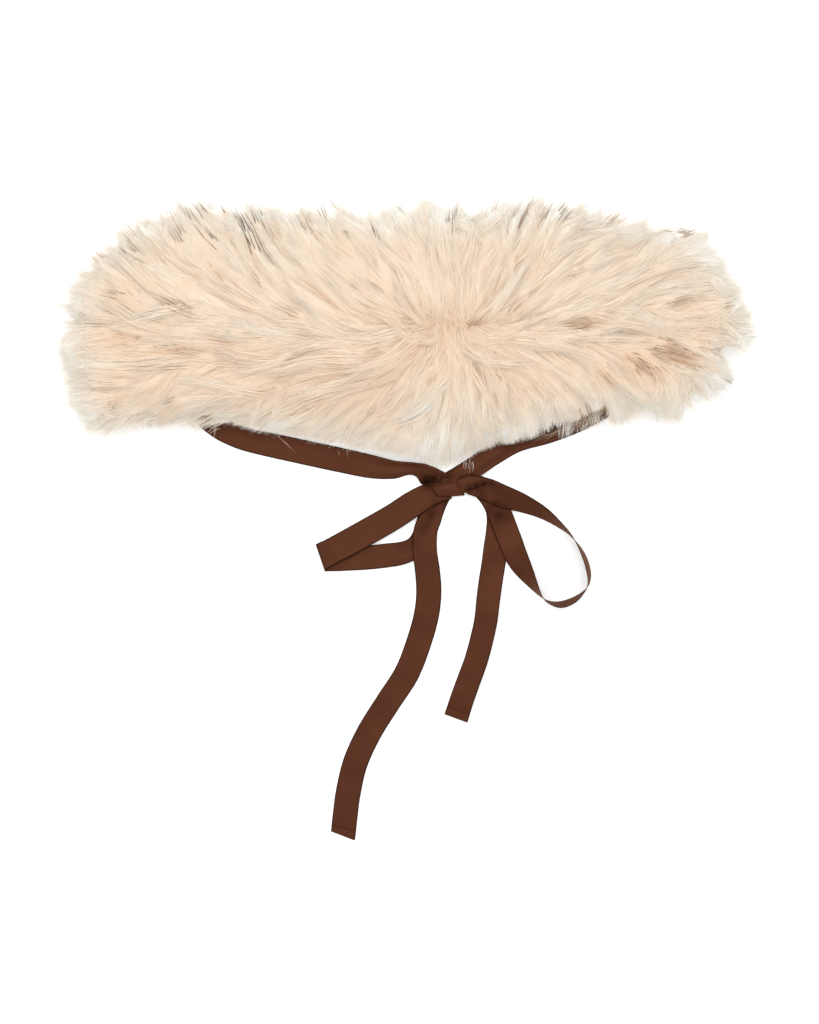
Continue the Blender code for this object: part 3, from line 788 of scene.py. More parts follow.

# partings, where the coat opens on its warm roots; there the hair's tone is also warmed as painted shade:
# middle (x, y), length, width, how deep, all along the nap
partingsAndShade = [
    (57, 7, 20, 4, 0.7), (-155, 48, 44, 4, 0.5), (-232, -7, 26, 9, 0.8), (-190, -15, 40, 4, 0.5),
    (-147, -9, 30, 4, 0.5), (-72, 32, 44, 4, 0.6), (-60, 22, 30, 3, 0.4), (-28, -19, 12, 4, 0.6),
    (98, 26, 50, 4, 0.6), (145, 5, 26, 6, 0.6), (221, -19, 40, 10, 1.3), (195, -29, 30, 8, 0.9),
    (164, -38, 24, 7, 0.6), (136, 46, 30, 5, 0.4), (-100, -40, 40, 4, 0.4), (20, -40, 30, 4, 0.4),
    (70, -32, 34, 4, 0.4),
]


def toLeft(heading):
    return np.stack([-heading[..., 1], heading[..., 0]], axis=-1)


def raised(points, z, floor=1.0):
    # points in plan given their heights, none below the floor
    return np.concatenate([points, np.maximum(z, floor)[..., None]], axis=2)


def combPaths(start, turn):
    # each start is walked along the nap, turned by its own angle
    path = [start]
    for _ in range(axisSteps):
        half = start + turned(plan.read(plan.nap, start), turn) * axisStep / 2
        start = start + unit(turned(plan.read(plan.nap, half), turn)) * axisStep
        path.append(start)
    return np.stack(path, axis=1)


def pathAt(paths, which, distance):
    place = np.minimum(distance / axisStep, axisSteps - 0.001)
    low = np.maximum(place.astype(int), 0)
    part = (place - low)[..., None]
    here, there = paths[which[:, None], low], paths[which[:, None], low + 1]
    return here * (1 - part) + there * part, unit(there - here)


def aheadAside(paths, which, roots):
    # where a root lies from the start of a path, along it and to its left
    heading = unit(paths[which, 1] - paths[which, 0])
    away = roots - paths[which, 0]
    return (away * heading).sum(axis=1), away[:, 1] * heading[:, 0] - away[:, 0] * heading[:, 1]


def beside(paths, which, roots, travelled, gather):
    # points that follow a parent's path abreast of their own root, drawn in to it by gather
    ahead, aside = aheadAside(paths, which, roots)
    middle, forward = pathAt(paths, which, ahead[:, None] + travelled)
    left = toLeft(forward)
    return middle + left * (aside[:, None] * (1 - gather))[..., None], left


def sowWhere(draw, count, batch, area, wanted):
    # random places in an area (left, right, low, high), where wanted holds
    left, right, low, high = area
    found = np.empty((0, 2))
    while len(found) < count:
        p = np.column_stack([draw.uniform(left, right, batch), draw.uniform(low, high, batch)])
        found = np.concatenate([found, p[wanted(p)]])
    return found[:count]


def rooted(p):
    return (plan.read(plan.depth, p) > 4) & (plan.read(plan.ahead, p) > coat["backing"])


def sow(draw, count):
    return sowWhere(draw, count, count, (-300, 300, -115, 120), rooted)


def nearest(points, targets):
    tree = KDTree(len(targets))
    for number, (x, y) in enumerate(targets):
        tree.insert((x, y, 0), number)
    tree.balance()
    return np.array([tree.find((x, y, 0))[1] for x, y in points])


def partingAndShadeAt(points):
    # 0 to about 1 where a parting opens the coat; it lowers the coat there, and warms the hair's tone as
    # painted shade
    total = np.zeros(points.shape[:-1])
    for x, y, length, width, depth in partingsAndShade:
        heading = plan.read(plan.nap, np.array([[float(x), float(y)]]))[0]
        away = points - (x, y)
        along = (away @ heading) / length
        aside = (away[..., 1] * heading[0] - away[..., 0] * heading[1]) / width
        total += depth * np.exp(-(2.2 * along)**2 - (1.6 * aside)**2)
    return total


def strandMesh(name, spine, width, roll, tone):
    # flat tapering strips along each spine, the last point a tip; tone may change along a strip
    n, k = spine.shape[:2]
    tangent = unit(np.gradient(spine, axis=1))
    side = unit(np.cross(tangent, [0.0, 0.0, 1.0]))
    lift = unit(np.cross(side, tangent))
    across = side * np.cos(roll)[:, None, None] + lift * np.sin(roll)[:, None, None]
    t = np.linspace(0, 1, k)
    half = width[:, None] * (1 - 0.92 * t**1.6)[None, :] / 2
    left = (spine - across * half[..., None])[:, :-1]
    right = (spine + across * half[..., None])[:, :-1]
    points = np.concatenate([np.stack([right, left], axis=2).reshape(n, -1, 3), spine[:, -1:]], axis=1)
    per = 2 * k - 1
    strip = [c for i in range(0, per - 3, 2) for c in (i, i + 1, i + 3, i + 2)] + [per - 3, per - 2, per - 1]
    loops = (np.arange(n)[:, None] * per + np.array(strip)).ravel()
    counts = np.tile([4] * (k - 2) + [3], n)
    mesh = bpy.data.meshes.new(name)
    mesh.vertices.add(n * per)
    mesh.vertices.foreach_set("co", (points * mm).astype(np.float32).ravel())
    mesh.loops.add(len(loops))
    mesh.loops.foreach_set("vertex_index", loops.astype(np.int32))
    mesh.polygons.add(len(counts))
    mesh.polygons.foreach_set("loop_start", (np.cumsum(counts) - counts).astype(np.int32))
    mesh.polygons.foreach_set("use_smooth", np.ones(len(counts), bool))
    # each strip is a sliver of the hair map at its own tone, a little clear of the map's edges
    uv = np.empty((n, per, 2))
    tones = np.concatenate([np.repeat(tone[:, :-1], 2, axis=1), tone[:, -1:]], axis=1)
    uv[..., 0] = tones * 0.985 + 0.007 + np.append(np.tile([0.002, -0.002], k - 1), 0)
    uv[..., 1] = np.append(np.repeat(t[:-1], 2), 1.0) * 0.96 + 0.02
    layer = mesh.uv_layers.new(name="OFBake")
    layer.data.foreach_set("uv", uv.reshape(-1, 2)[loops].astype(np.float32).ravel())
    mesh.materials.append(furPile)
    mesh.update(calc_edges=True)
    return addPiece(name, mesh)


# fur: u of the hair map is its tone (pale to warm, then the dark guard hairs), v runs root to tip
furLook = {
    "pale": [
        (0.0, (0.785, 0.66, 0.51)), (0.3, (0.80, 0.715, 0.59)),
        (0.75, (0.81, 0.745, 0.64)), (1.0, (0.82, 0.765, 0.675)),
    ],
    "warm": [
        (0.0, (0.66, 0.40, 0.24)), (0.3, (0.785, 0.565, 0.39)),
        (0.75, (0.81, 0.61, 0.45)), (1.0, (0.815, 0.65, 0.50)),
    ],
    "frost": [(0.0, (0.81, 0.73, 0.61)), (0.5, (0.85, 0.815, 0.735)), (1.0, (0.90, 0.88, 0.835))],
    "guard": [
        (0.0, (0.72, 0.52, 0.36)), (0.12, (0.45, 0.28, 0.18)),
        (0.25, (0.13, 0.08, 0.055)), (1.0, (0.035, 0.027, 0.024)),
    ],
    "brown": [(0.0, (0.78, 0.59, 0.43)), (0.25, (0.56, 0.37, 0.24)), (1.0, (0.38, 0.25, 0.16))],
    "body": [(0.3, (0.74, 0.54, 0.38)), (0.7, (0.80, 0.62, 0.46))],
    "rim": (0.80, 0.72, 0.59),
    "cloth": [(0.3, (0.72, 0.64, 0.53)), (0.7, (0.80, 0.73, 0.62))],
    "roughness": 0.6,
    "specular": 0.08,
    "warmest": 0.88,      # tone of the warmest hair
    "frostBelow": 0.13,   # paler hair than this is frosted
    "guardAbove": 0.885,
    "brownest": 0.89,     # from here on guard hair goes from brown to dark
}


def furMaterial():
    material, tree, shader = newMaterial("furPile", furLook["roughness"], specular=furLook["specular"])
    uv = addNode(tree, "ShaderNodeUVMap", uv_map="OFBake")
    tone, along, _ = separated(tree, uv.outputs[0])
    pale, warm, frost, brown, dark = (
        colorRamp(tree, along, furLook[name]) for name in ("pale", "warm", "frost", "brown", "guard"))
    hair = mixColors(tree, calc(tree, "MULTIPLY", tone, 1 / furLook["warmest"]), pale, warm)
    white = calc(tree, "MULTIPLY", calc(tree, "SUBTRACT", furLook["frostBelow"], tone), 9)
    hair = mixColors(tree, calc(tree, "MAXIMUM", white, 0), hair, frost)
    darkness = calc(tree, "MULTIPLY", calc(tree, "SUBTRACT", tone, furLook["brownest"]), 10)
    guard = calc(tree, "GREATER_THAN", tone, furLook["guardAbove"])
    share = calc(tree, "MINIMUM", calc(tree, "MULTIPLY", darkness, 1.8), 1)
    dark = mixColors(tree, darkness, brown, dark)
    hair = mixColors(tree, calc(tree, "MULTIPLY", guard, share), hair, dark)
    tree.links.new(hair, shader.inputs["Base Color"])
    return material


def mottledMaterial(name, stops, scale, bump, rim=None):
    # cloudy colour and a fine bump on object coordinates, with the rim colour near the table
    material, tree, shader = newMaterial(name, 0.85, sheen=0.2, specular=0.15)
    place = addNode(tree, "ShaderNodeTexCoord")
    cloud = addNode(tree, "ShaderNodeTexNoise", Scale=scale, Detail=4.0)
    tree.links.new(place.outputs["Object"], cloud.inputs["Vector"])
    color = colorRamp(tree, cloud.outputs[0], stops)
    if rim:
        # it comes in below 22 mm and is full 12.5 mm lower
        z = separated(tree, place.outputs["Object"])[2]
        low = calc(tree, "MULTIPLY", calc(tree, "SUBTRACT", 0.022, z), 80)
        color = mixColors(tree, calc(tree, "MAXIMUM", low, 0), color, rim)
    tree.links.new(color, shader.inputs["Base Color"])
    fine = addNode(tree, "ShaderNodeTexNoise", Scale=scale * 12, Detail=3.0)
    tree.links.new(place.outputs["Object"], fine.inputs["Vector"])
    addBump(tree, shader, fine.outputs[0], 0.5, bump)
    return material


furPile = furMaterial()
furBody = mottledMaterial("furUnderwool", furLook["body"], 90, 0.0006, furLook["rim"])
backingCloth = mottledMaterial("backingCloth", furLook["cloth"], 260, 0.0002)


def runUntil(paths, which, roots, travelled, never, met):
    # how far along its path each root first meets something, and where; never stands for the ones that don't
    points, _ = beside(paths, which, roots, np.broadcast_to(travelled, (len(roots), len(travelled))), 0)
    hit = met(points)
    first = np.argmax(hit, axis=1)
    return np.where(hit.any(axis=1), travelled[first], never), points[np.arange(len(roots)), first]


def pastOutline(points):
    return plan.read(plan.inside, points) < 0.5


def pastFoot(points):
    return points[..., 1] < footLine(points[..., 0])


def edgeRoom(draw, paths, which, roots):
    # how far each root's hair can run before it leaves the collar's outline, and before it meets a tie
    room, edge = runUntil(paths, which, roots, np.arange(0, 84, 3.0), 90.0, pastOutline)
    room = room + np.maximum(edgeChange(edge), 0)
    toTie, _ = runUntil(paths, which, roots, np.arange(0, 90, 1.0), 200.0, pastFoot)
    # where the two ties meet the hair thins out a little short of them
    inCorner = np.exp(-((roots[:, 0] - 30) / 45)**2)
    return room, toTie - 0.6 - draw.exponential(0.4 + 0.9 * inCorner)


class Combing:
    # lock and tuft paths, and what each passes on to its hairs
    def __init__(self, draw):
        area = ((plan.depth > 4) & (plan.ahead > coat["backing"])).sum() * plan.pitch**2
        self.locks = sow(draw, int(area / coat["lockSpacing"]**2))
        self.tufts = sow(draw, int(area / coat["tuftSpacing"]**2))
        locks, tufts = len(self.locks), len(self.tufts)
        self.tuftLock = nearest(self.tufts, self.locks)
        lockTurn = np.radians(coat["lockTurn"]) * draw.normal(0, 1, locks)
        tuftTurn = lockTurn[self.tuftLock] + np.radians(coat["tuftTurn"]) * draw.normal(0, 1, tufts)
        self.lockPaths = combPaths(self.locks, lockTurn)
        self.tuftPaths = combPaths(self.tufts, tuftTurn)
        run = np.broadcast_to(axisStep * np.arange(axisSteps + 1.0), (tufts, axisSteps + 1))
        t = run / coat["length"]
        inLock, _ = beside(self.lockPaths, self.tuftLock, self.tufts, run, coat["lockGather"] * t**1.5)
        t = np.minimum(t, 1)[..., None]
        self.tuftPaths = self.tuftPaths * (1 - 0.5 * t) + inLock * 0.5 * t
        self.layer = draw.normal(0, 0.5, locks)[self.tuftLock] + draw.normal(0, 0.25, tufts)
        self.tone = draw.normal(0, 0.06, locks)[self.tuftLock] + draw.normal(0, 0.03, tufts)
        self.reach = draw.normal(-0.4, 2.4, locks)[self.tuftLock] + draw.normal(0, 1.3, tufts)
        self.curl = draw.normal(0, 2.5, tufts)
        self.surface = self.splat()

    def splat(self):
        # the top of the tufts as a height over the plan, softened
        run = np.broadcast_to(np.arange(0, 56, 2.0), (len(self.tufts), 28))
        points, _ = pathAt(self.tuftPaths, np.arange(len(self.tufts)), run)
        t = run / coat["length"]
        height = plan.read(plan.height, points) * (0.78 + 0.17 * np.minimum(t * 3, 1))
        height = height + 1.6 * self.layer[:, None] * np.minimum(t * 2, 1)
        c = np.clip(((points[..., 0] - plan.left) / plan.pitch + 0.5).astype(int), 0, plan.columns - 1)
        r = np.clip(((points[..., 1] - plan.bottom) / plan.pitch + 0.5).astype(int), 0, plan.rows - 1)
        surface = plan.height * 0.80
        np.maximum.at(surface, (r.ravel(), c.ravel()), height.ravel())
        surface = levelled(surface, 2)
        # pits that no tuft lies over are filled almost to their surroundings
        surface = np.maximum(surface, levelled(surface, 14) - 1.0)
        return surface - 1.6 * partingAndShadeAt(plan.grid)


# the two halves: solid, underwool, ground cloth, and how far it reaches at the seam, a little over the other
halves = [
    ("fur_left", "underwoolLeft", "backingLeft", 41.3),
    ("fur_right", "underwoolRight", "backingRight", 40.7),
]
seamAt = 41


def buildUnderwool(work, name, seamX, surface):
    # a copy of the half's solid with the coat's relief, drawn in a little at the rim
    bmesh.ops.subdivide_edges(work, edges=work.edges, cuts=1, use_grid_fill=True)
    bmesh.ops.triangulate(work, faces=work.faces)
    points = np.array([v.co[:] for v in work.verts]) / mm
    plane = points[:, :2]
    top = points[:, 2] > 0.5 * plan.read(plan.height, plane)
    moved = plane.copy()
    for _ in range(30):
        out = plan.read(plan.core, moved) < 0.95
        moved[out] -= plan.read(plan.wayOut, moved[out]) * 1.5
    moved[np.abs(plane[:, 0] - seamAt) < 1.2, 0] = seamX
    height = np.where(top, plan.read(surface, plane) - 0.8, points[:, 2])
    height = np.maximum(height, np.where(top, 2.5, 1.3))
    for v, (x, y), z in zip(work.verts, moved, height):
        v.co = (x * mm, y * mm, z * mm)
    bmesh.ops.remove_doubles(work, verts=work.verts, dist=0.0004)
    bmesh.ops.dissolve_degenerate(work, edges=work.edges, dist=0.00005)
    # the wall at the seam is filled again, now that its top edge follows the relief
    seamVerts = {v for v in work.verts if abs(v.co.x - seamX * mm) < 0.00002}
    wall = [f for f in work.faces if seamVerts.issuperset(f.verts)]
    bmesh.ops.delete(work, geom=wall, context="FACES")
    gap = [e for e in work.edges if e.is_boundary and seamVerts.issuperset(e.verts)]
    filled = bmesh.ops.holes_fill(work, edges=gap, sides=0)["faces"]
    bmesh.ops.triangulate(work, faces=filled)
    mesh = meshFrom(work, name)
    mesh.materials.append(furBody)
    mesh.polygons.foreach_set("use_smooth", [True] * len(mesh.polygons))
    return addPiece(name, mesh)


def buildBacking(work, name):
    # the fur's own ground cloth, flat on the table
    high = [f for f in work.faces if f.calc_center_median().z > 0.00005]
    bmesh.ops.delete(work, geom=high, context="FACES")
    bmesh.ops.solidify(work, geom=work.faces[:], thickness=-0.0012)
    bmesh.ops.recalc_face_normals(work, faces=work.faces)
    lowest = min(v.co.z for v in work.verts)
    bmesh.ops.translate(work, verts=work.verts, vec=(0, 0, 0.00005 - lowest))
    mesh = meshFrom(work, name)
    mesh.materials.append(backingCloth)
    backing = addPiece(name, mesh)


def buildBodies(surface):
    for node, underwool, backing, seamX in halves:
        work = bmesh.new()
        work.from_mesh(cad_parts[node].data)
        bmesh.ops.remove_doubles(work, verts=work.verts, dist=0.00001)
        foot = work.copy()
        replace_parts(buildUnderwool(work, underwool, seamX, surface), node)
        buildBacking(foot, backing)


def alongHeading(roots, heading, travelled, bend=0):
    # points straight on from each root, bent to its left
    straightOn = roots[:, None] + heading[:, None] * travelled[..., None]
    return straightOn + toLeft(heading)[:, None] * np.broadcast_to(bend, travelled.shape)[..., None]


def hairSpines(draw, paths, which, roots, length, segments, gather, curl):
    # points in plan along each hair
    t = np.linspace(0, 1, segments + 1)
    drawn = gather * t**1.3 * draw.uniform(0.2, 1.3, (len(roots), 1))
    points, left = beside(paths, which, roots, length[:, None] * t, drawn)
    sway = curl[:, None] * t**2 + draw.normal(0, 0.5, (len(roots), 1)) * np.sin(t * 5)
    return t, points + left * sway[..., None]


def placeTone(points):
    # hair is paler towards the outline and where the ties meet, a little warmer in the lower half, and
    # warmer at the partings, where the warm roots show and painted shade deepens them
    edge = np.clip(1 - plan.read(plan.outerDepth, points) / 30, 0, 1) ** 1.5
    corner = np.hypot(points[..., 0] - 32, 0.8 * (points[..., 1] + 112)) / 50
    edge = np.maximum(edge, np.clip(1.25 - corner, 0, 1))
    low = np.clip((25 - points[..., 1]) / 40, 0, 1)
    return -0.5 * edge + 0.14 * low * (1 - edge) + 0.50 * partingAndShadeAt(points)


warmestHair = 0.86    # the tones above this belong to the guard hairs


def dealOut(name, parts, order, spine, width, roll, tone):
    count = len(order)
    for k in range(parts):
        pick = order[k * count // parts:(k + 1) * count // parts]
        strandMesh(name + str(k + 1), spine[pick], width[pick], roll[pick], tone[pick])
    print(name, count, "hairs")


def growCoat(comb):
    draw = np.random.default_rng(coat["seed"] + 1)
    for name, count, segments in (("underCoat", coat["underHairs"], 3), ("topCoat", coat["topHairs"], 4)):
        top = name == "topCoat"
        roots = sow(draw, count)
        tuft = nearest(roots, comb.tufts)
        lock = comb.tuftLock[tuft]
        length = coat["length"] * (1.0 if top else 0.85) + draw.normal(0, 7.0, count)
        room, toTie = edgeRoom(draw, comb.tuftPaths, tuft, roots)
        reach = comb.reach[tuft] + 3.5 - draw.exponential(7.0, count)
        # many are long enough to reach the edge, most of all along the ties
        stretch = (draw.uniform(0, 1, count) < np.where(roots[:, 1] < -30, 0.8, 0.35)) & (room < 76)
        length = np.where(stretch, room + reach, np.minimum(length, room + reach))
        length = np.where((toTie < 90) & stretch, toTie, length)
        length = np.maximum(np.minimum(length, toTie), 4)
        t, points = hairSpines(draw, comb.tuftPaths, tuft, roots, length, segments, coat["tuftGather"],
                               comb.curl[tuft] + draw.normal(0, 2.2, count))
        points = plan.keptIn(points, np.minimum(comb.reach[tuft] + draw.normal(-1, 3.0, count), 5)[:, None])
        aside = aheadAside(comb.lockPaths, lock, roots)[1] / (coat["lockSpacing"] * 0.6)
        aside = np.clip(aside, -1.2, 1.2)
        # the hair comes up out of the underwool and lies along it
        lie = comb.layer[tuft] + coat["lockBulge"] * (1 - aside**2)
        lie += draw.uniform(0.3, 0.9, count) if top else draw.uniform(-0.6, 0.4, count)
        rise = 1 - (1 - t) ** 4
        ground = plan.read(comb.surface, points)
        z = ground - 2.5 * (1 - rise) + lie[:, None] * rise * np.clip(ground / 25, 0.3, 1)
        z = z - draw.uniform(0, 1.2, count)[:, None] * t**4 - 0.5 * plan.read(plan.outside, points)
        tone = coat["tones"][int(top)] + (comb.tone[tuft] + draw.normal(0, 0.025, count))[:, None]
        tone = np.clip(tone + placeTone(points), 0.0, warmestHair)
        width = coat["width"] * draw.uniform(0.6, 1.15, count) * (1.0 if top else 1.2)
        roll = 0.14 * aside + draw.normal(0, 0.06, count)
        dealOut(name, 2, np.argsort(roots[:, 0]), raised(points, z), width, roll, tone)


# loose locks of known place around the whorl: root (x, y), heading in degrees, half width, length
placedLocks = [
    (31, -1, 266, 4, 66), (38, -3, 270, 4, 64), (43, -8, 306, 4, 54), (17, -18, 238, 4.5, 46),
    (52, -4, 333, 4.5, 56), (19, -26, 250, 4, 50), (50, -16, 277, 4, 60), (62, 9, 36, 4, 62),
    (54, 14, 52, 4.5, 58), (28, 15, 96, 5, 60), (60, -14, 300, 4, 52), (6, -14, 222, 4.5, 50),
    (66, 2, 352, 4, 58), (12, 14, 122, 5, 56), (43, 16, 84, 5, 60), (41, -20, 268, 4.5, 60),
    (30, -30, 256, 4, 55), (70, -22, 292, 4, 50),
]


def growOverLocks(comb):
    # loose locks that lie over the coat, each a little off the nap
    draw = np.random.default_rng(coat["seed"] + 2)
    locks = coat["overLocks"]
    starts = sow(draw, locks)
    turn = np.radians(coat["overTurn"]) * draw.normal(0, 1, locks)
    halfWidths, lengths = draw.uniform(3.5, 7.5, locks), draw.normal(62, 8, locks)
    fromWhorl = np.hypot(starts[:, 0] - 40, starts[:, 1] - 10)
    turn = np.where(fromWhorl < 45, turn * 0.3, turn)
    for number, (x, y, heading, halfWidth, length) in enumerate(placedLocks):
        nap = plan.read(plan.nap, np.array([float(x), float(y)]))
        starts[number] = x, y
        offNap = math.radians(heading) - math.atan2(nap[1], nap[0])
        turn[number] = (offNap + math.pi) % (2 * math.pi) - math.pi
        halfWidths[number], lengths[number] = halfWidth, length
    paths = combPaths(starts, turn)
    lock = np.repeat(np.arange(locks), coat["overHairs"] // locks)
    count = len(lock)
    heading = unit(paths[lock, 1] - paths[lock, 0])
    aside = np.clip(draw.normal(0, 0.55, count), -1.2, 1.2)
    roots = starts[lock] + toLeft(heading) * (aside * halfWidths[lock])[:, None]
    roots = roots + heading * draw.normal(0, 7, (count, 1))
    length = lengths[lock] + draw.normal(0, 7, count)
    room, toTie = edgeRoom(draw, paths, lock, roots)
    length = np.minimum(length, room + draw.normal(0, 4, locks)[lock] + draw.normal(0, 3, count))
    length = np.maximum(np.minimum(length, toTie), 4)
    curl = draw.normal(0, 4, locks)[lock] + draw.normal(0, 1.5, count)
    t, points = hairSpines(draw, paths, lock, roots, length, 4, 0.45, curl)
    allowed = np.minimum(draw.normal(-1, 2, locks)[lock] + draw.normal(0, 2.5, count), 5)
    points = plan.keptIn(points, allowed[:, None])
    ground = plan.read(comb.surface, points)
    lie = draw.normal(2.9, 0.6, locks)[lock] + 1.1 * (1 - aside**2) + draw.normal(0, 0.5, count)
    rise = 1 - (1 - t) ** 3
    z = ground - 1.5 * (1 - rise) + lie[:, None] * rise * np.clip(ground / 25, 0.3, 1) - 1.5 * t**4
    z = z - 0.5 * plan.read(plan.outside, points)
    tone = coat["tones"][2] + (draw.normal(0, 0.07, locks)[lock] + draw.normal(0, 0.04, count))[:, None]
    tone = np.clip(tone + placeTone(points), 0.0, warmestHair)
    width = coat["width"] * draw.uniform(0.6, 1.1, count)
    roll = 0.35 * aside + draw.normal(0, 0.12, count)
    dealOut("overLocks", 1, np.arange(count), raised(points, z), width, roll, tone)


def growWisps(comb):
    # fine pale hair that reaches past the rest all round the outline
    draw = np.random.default_rng(coat["seed"] + 6)

    def nearEdge(p):
        ahead = plan.read(plan.ahead, p)
        return (ahead > 9) & (ahead < 26) & (plan.read(plan.depth, p) > 3)

    roots = sowWhere(draw, coat["wisps"], 20000, (-300, 300, -115, 120), nearEdge)
    count = len(roots)
    tuft = nearest(roots, comb.tufts)
    t = np.linspace(0, 1, 5)
    length = plan.read(plan.ahead, roots) + 5 + draw.exponential(4.0, count)
    heading = turned(plan.read(plan.nap, roots), draw.normal(0, 0.22, count) + 0.05 * comb.curl[tuft])
    bend = draw.normal(0, 0.14, count)[:, None] * length[:, None] * t**2
    points = alongHeading(roots, heading, length[:, None] * t, bend)
    allowed = np.minimum(comb.reach[tuft] * 0.6 + 2 + draw.exponential(3.5, count), 11)
    points = plan.keptIn(points, allowed[:, None])
    kept = np.flatnonzero((points[..., 1] > footLine(points[..., 0])).all(axis=1))
    ground = plan.read(comb.surface, points)
    z = ground + draw.uniform(0, 3, count)[:, None] * np.clip(ground / 20, 0.3, 1) - 1.0 * t
    z = z - 0.5 * plan.read(plan.outside, points)
    tone = np.broadcast_to(draw.uniform(0.0, 0.08, count)[:, None], z.shape)
    width = coat["wispWidth"] * draw.uniform(0.7, 1.2, count)
    dealOut("wisps", 1, kept, raised(points, z), width, draw.normal(0, 0.2, count), tone)


def growRim(comb):
    # short pale hair down the sides, falling to the table
    draw = np.random.default_rng(coat["seed"] + 7)

    def atRim(p):
        depth = plan.read(plan.depth, p)
        return (depth > 3) & (depth < 15)

    def onBrow(p):
        past = p + plan.read(plan.wayOut, p) * 4
        return (plan.read(plan.core, p) > 0.95) & (plan.read(plan.core, past) < 0.95)

    roots = sowWhere(draw, coat["rimHairs"], 20000, (-300, 300, -120, 120), atRim)
    # more at the steep front left, hanging from the underwool's own edge
    front = sowWhere(draw, coat["frontHairs"], 20000, (-290, -165, -100, -40), onBrow)
    roots = np.concatenate([roots, front])
    count = len(roots)
    atFront = np.arange(count) >= coat["rimHairs"]
    swept = np.where(atFront, draw.uniform(0.3, 1.8, count), 0.0)[:, None] * plan.read(plan.nap, roots)
    jitter = draw.normal(0, np.where(atFront, 0.35, 0.12)[:, None], (count, 2))
    heading = unit(plan.read(plan.wayOut, roots) + swept + jitter)
    run = plan.read(plan.depth, roots) * draw.uniform(0.5, 1.0, count) + draw.uniform(-2, 4, count)
    run = np.where(atFront, draw.uniform(5, 16, count), run)
    t = np.linspace(0, 1, 4)
    points = alongHeading(roots, heading, run[:, None] * (1 - (1 - t)**1.4))
    keptIn = plan.keptIn(points, draw.uniform(-2, 2, count)[:, None])
    points = np.where(atFront[:, None, None], points, keptIn)
    start = plan.read(comb.surface, roots) * draw.uniform(0.35, np.where(atFront, 1.1, 0.85), count)
    low = draw.uniform(0.8, 5.0, count)
    z = start[:, None] * (1 - t**1.5) + low[:, None] * t**1.5
    kept = np.flatnonzero((points[..., 1] > footLine(points[..., 0])).all(axis=1))
    tone = np.broadcast_to(draw.uniform(0.02, 0.28, count)[:, None], z.shape)
    width = coat["rimWidth"] * draw.uniform(0.7, 1.2, count)
    dealOut("rimCoat", 1, kept, raised(points, z, 0.8), width, draw.normal(0, 0.3, count), tone)


# the whorl at the centre back, where the nap parts every way: short hairs cross over it
whorl = {"from": (22, 14), "to": (58, 6), "hairs": 4200, "spread": 8.0, "length": (24, 44), "tone": 0.50}


def growWhorl(comb):
    draw = np.random.default_rng(coat["seed"] + 3)
    count = whorl["hairs"]
    line = draw.uniform(0, 1, (count, 1))
    roots = np.array(whorl["from"]) * (1 - line) + np.array(whorl["to"]) * line
    roots = roots + draw.normal(0, whorl["spread"], (count, 2))
    near = nearest(roots + draw.normal(0, 7.0, (count, 2)), comb.tufts)
    length = draw.uniform(*whorl["length"], count)
    t = np.linspace(0, 1, 5)
    path, _ = pathAt(comb.tuftPaths, near, length[:, None] * t)
    path = path + (roots - comb.tufts[near])[:, None, :] * (1 - 0.5 * t)[:, None]
    ground = plan.read(comb.surface, path)
    z = ground - 0.6 + (draw.uniform(0.4, 3.2, count))[:, None] * (1 - (1 - t) ** 3) - 1.5 * t**4
    tone = np.clip(whorl["tone"] + draw.normal(0, 0.12, (count, 1)) + placeTone(path), 0.0, warmestHair)
    width = coat["width"] * draw.uniform(0.6, 1.1, count)
    dealOut("whorl", 1, np.arange(count), raised(path, z), width, draw.normal(0, 0.3, count), tone)


# tufts of dark-tipped guard hair: middle (x, y) of the dark stretch, its length, hairs, how dark
guardTufts = [
    (-254, 64, 14, 8, 0.4), (-232.5, 87.5, 18, 12, 0.35), (-225, 66, 18, 14, 0.7), (-216, 91, 8, 6, 0.3),
    (-196, 100, 14, 8, 0.4), (-187.5, 81, 12, 14, 0.7), (-177.5, 101, 16, 14, 0.6), (-164, 81, 16, 12, 0.7),
    (-167, 106, 10, 8, 0.7), (-148, 101, 12, 5, 0.9), (-137, 95, 24, 11, 0.97), (-128, 80, 26, 13, 0.97),
    (-119, 66, 14, 5, 0.85), (-123, 95, 16, 11, 0.9), (-109, 82.5, 22, 14, 0.4), (-125, 49, 18, 10, 0.35),
    (-243, 31, 18, 6, 0.8), (-200, 27, 16, 11, 0.55), (-189, 22, 14, 13, 0.6), (-178, 17, 13, 9, 0.5),
    (-104, 20, 18, 8, 0.4), (-166, -71, 12, 10, 0.8), (-195, -57.5, 10, 6, 0.5), (-81.5, 89, 26, 10, 0.5),
    (-67.5, 79, 16, 6, 0.35), (-71, 101.5, 14, 8, 0.7), (-64, 110, 12, 5, 0.6), (-28, 85, 16, 7, 0.95),
    (37.5, 98, 18, 8, 0.6), (70, 102.5, 20, 6, 0.5), (96, 102.5, 30, 12, 0.6), (115, 101, 24, 8, 0.5),
    (131, 101.5, 16, 8, 0.95), (173, 95, 20, 16, 0.5), (235, 82.5, 14, 4, 0.6), (225, 26, 20, 6, 0.6),
    (265, 20, 9, 8, 0.5), (145, 5, 18, 8, 0.3), (224, -15, 16, 14, 0.45), (193, -29, 14, 14, 0.5),
    (210, -24, 12, 8, 0.35), (204, -17, 12, 6, 0.5), (164, -38, 18, 10, 0.3), (147.5, -71.5, 14, 14, 0.8),
    (164, -66, 10, 6, 1.0), (87.5, 22.5, 18, 8, 0.3), (-28, -19, 12, 6, 0.4),
]
